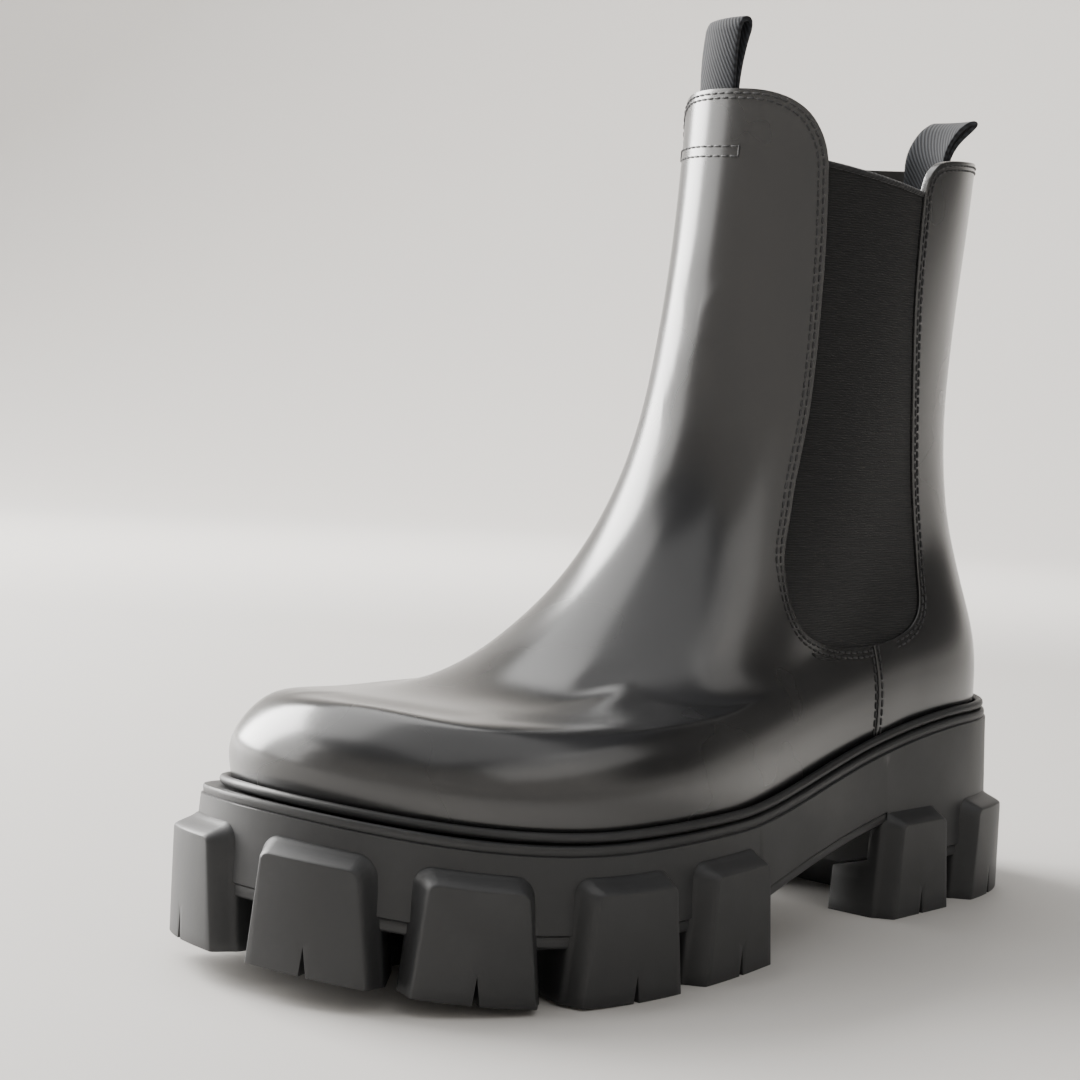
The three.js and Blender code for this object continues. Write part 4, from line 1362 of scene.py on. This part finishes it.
    def bar(self, last, size, row):
        """A tread bar under the middle of the sole."""
        along, half = row
        x = along * size.sole_length
        lift = float(last.spring(x))
        clear_selection()
        bpy.ops.mesh.primitive_cube_add(size=1)
        bar = named(bpy.context.object, "bar")
        deep = size.tread_depth + 2 * MM
        for vertex in bar.data.vertices:
            a, b, c = vertex.co
            vertex.co = (
                x + a * size.bar_width + last.place[0],
                b * 2 * half * size.ball_width + last.place[1],
                lift + (c + 0.5) * deep,
            )
        return soften(bar, 0.9 * MM, 2, 30)


class BOOT_OT_stage(BootOperator, Operator):
    """Floor, soft light and the camera"""

    bl_idname = "boot.stage"
    bl_label = "Stage"

    def execute(self, context):
        colours = context.scene.boot_colours
        self.backdrop(colours)
        self.lights(context)
        self.camera(context)
        return {"FINISHED"}

    def backdrop(self, colours):
        """A round floor whose rim curves up into a wall."""
        rows = [(radius, 0.0) for radius in (0.0, 0.3, 0.8, 1.5, FLOOR_FLAT)]
        for turned in np.linspace(0.1, math.pi / 2, 14):
            out, up = FLOOR_BEND * math.sin(turned), FLOOR_BEND * (1 - math.cos(turned))
            rows.append((FLOOR_FLAT + out, up))
        rows += [(FLOOR_FLAT + FLOOR_BEND, height) for height in WALL_ROWS]
        turn = np.linspace(0, 2 * math.pi, 97)
        points = np.zeros((len(rows), 97, 3))
        for j, (radius, z) in enumerate(rows):
            points[j] = np.column_stack([radius * np.cos(turn), radius * np.sin(turn), np.full(97, z)])
        floor = laid_grid("floor", points[:, ::-1])
        in_edit(floor, weld)
        if floor.data.polygons[0].normal.z < 0:
            in_edit(floor, flip)
        floor.data.materials.append(floor_with_painted_shade(colours.floor))
        take(floor)
        bpy.ops.object.shade_smooth()

    def lights(self, context):
        world = bpy.data.worlds.new("soft_room")
        context.scene.world = world
        world.use_nodes = True
        room = world.node_tree.nodes["Background"]
        room.inputs["Color"].default_value = ROOM_COLOUR
        room.inputs["Strength"].default_value = ROOM_STRENGTH
        for name, ((turn, rise, away), (wide, high), power, colour) in LIGHTS.items():
            turn, rise = math.radians(turn), math.radians(rise)
            level = away * math.cos(rise)
            place = Vector((level * math.cos(turn), level * math.sin(turn), away * math.sin(rise)))
            place += BOOT_MIDDLE
            target = BACKDROP_MIDDLE if name == "backdrop_wash" else BOOT_MIDDLE
            clear_selection()
            bpy.ops.object.light_add(type="AREA", location=place)
            lamp = bpy.context.object
            lamp.name = name
            lamp.data.shape = "RECTANGLE"
            lamp.data.size, lamp.data.size_y = wide, high
            lamp.data.energy = power
            lamp.data.color = colour
            lamp.rotation_euler = (place - target).to_track_quat("Z", "Y").to_euler()

    def camera(self, context):
        """The photograph's angle: its turn round the boot, its drop and its roll."""
        turn, drop, roll = math.radians(44.5), math.radians(3.519), math.radians(2.976)
        place = Vector((0.50225, 0.44396, 0.15291))
        ahead = Vector((-math.cos(turn) * math.cos(drop), -math.sin(turn) * math.cos(drop), -math.sin(drop)))
        right = ahead.cross(Vector((0, 0, 1))).normalized()
        up = right.cross(ahead)
        tilted_right = math.cos(roll) * right + math.sin(roll) * up
        tilted_up = -math.sin(roll) * right + math.cos(roll) * up
        bpy.ops.object.camera_add()
        camera = bpy.context.object
        camera.name = "photo_view"
        turned = Matrix((tilted_right, tilted_up, -ahead)).transposed().to_4x4()
        camera.matrix_world = Matrix.Translation(place) @ turned
        camera.data.sensor_width = 36.0
        camera.data.lens = 74.48
        camera.data.clip_start, camera.data.clip_end = 0.02, 20.0
        context.scene.camera = camera


STEPS = (
    BOOT_OT_leather,
    BOOT_OT_gores,
    BOOT_OT_stitching,
    BOOT_OT_pull_loops,
    BOOT_OT_rand,
    BOOT_OT_footbed,
    BOOT_OT_sole,
    BOOT_OT_stage,
)


class BOOT_PT_sidebar(Panel):
    """Sizes, colours and steps of the boot"""

    bl_idname = "BOOT_PT_sidebar"
    bl_label = "Platform boot"
    bl_space_type = "VIEW_3D"
    bl_region_type = "UI"
    bl_category = "Boot"

    def draw(self, context):
        for group in (context.scene.boot_sizes, context.scene.boot_colours):
            column = self.layout.column(align=True)
            for key in group.bl_rna.properties.keys():
                if key not in ("rna_type", "name"):
                    column.prop(group, key)
        for step in STEPS:
            self.layout.operator(step.bl_idname)


CLASSES = (BootSizes, BootColours, *STEPS, BOOT_PT_sidebar)


def register():
    for cls in CLASSES:
        bpy.utils.register_class(cls)
    bpy.types.Scene.boot_sizes = PointerProperty(type=BootSizes)
    bpy.types.Scene.boot_colours = PointerProperty(type=BootColours)


def unregister():
    del bpy.types.Scene.boot_sizes
    del bpy.types.Scene.boot_colours
    for cls in reversed(CLASSES):
        bpy.utils.unregister_class(cls)


def main():
    register()
    bpy.ops.boot.leather()
    bpy.ops.boot.gores()
    bpy.ops.boot.stitching()
    bpy.ops.boot.pull_loops()
    bpy.ops.boot.rand()
    bpy.ops.boot.footbed()
    bpy.ops.boot.sole()
    bpy.ops.boot.stage()


if __name__ == "__main__":
    main()
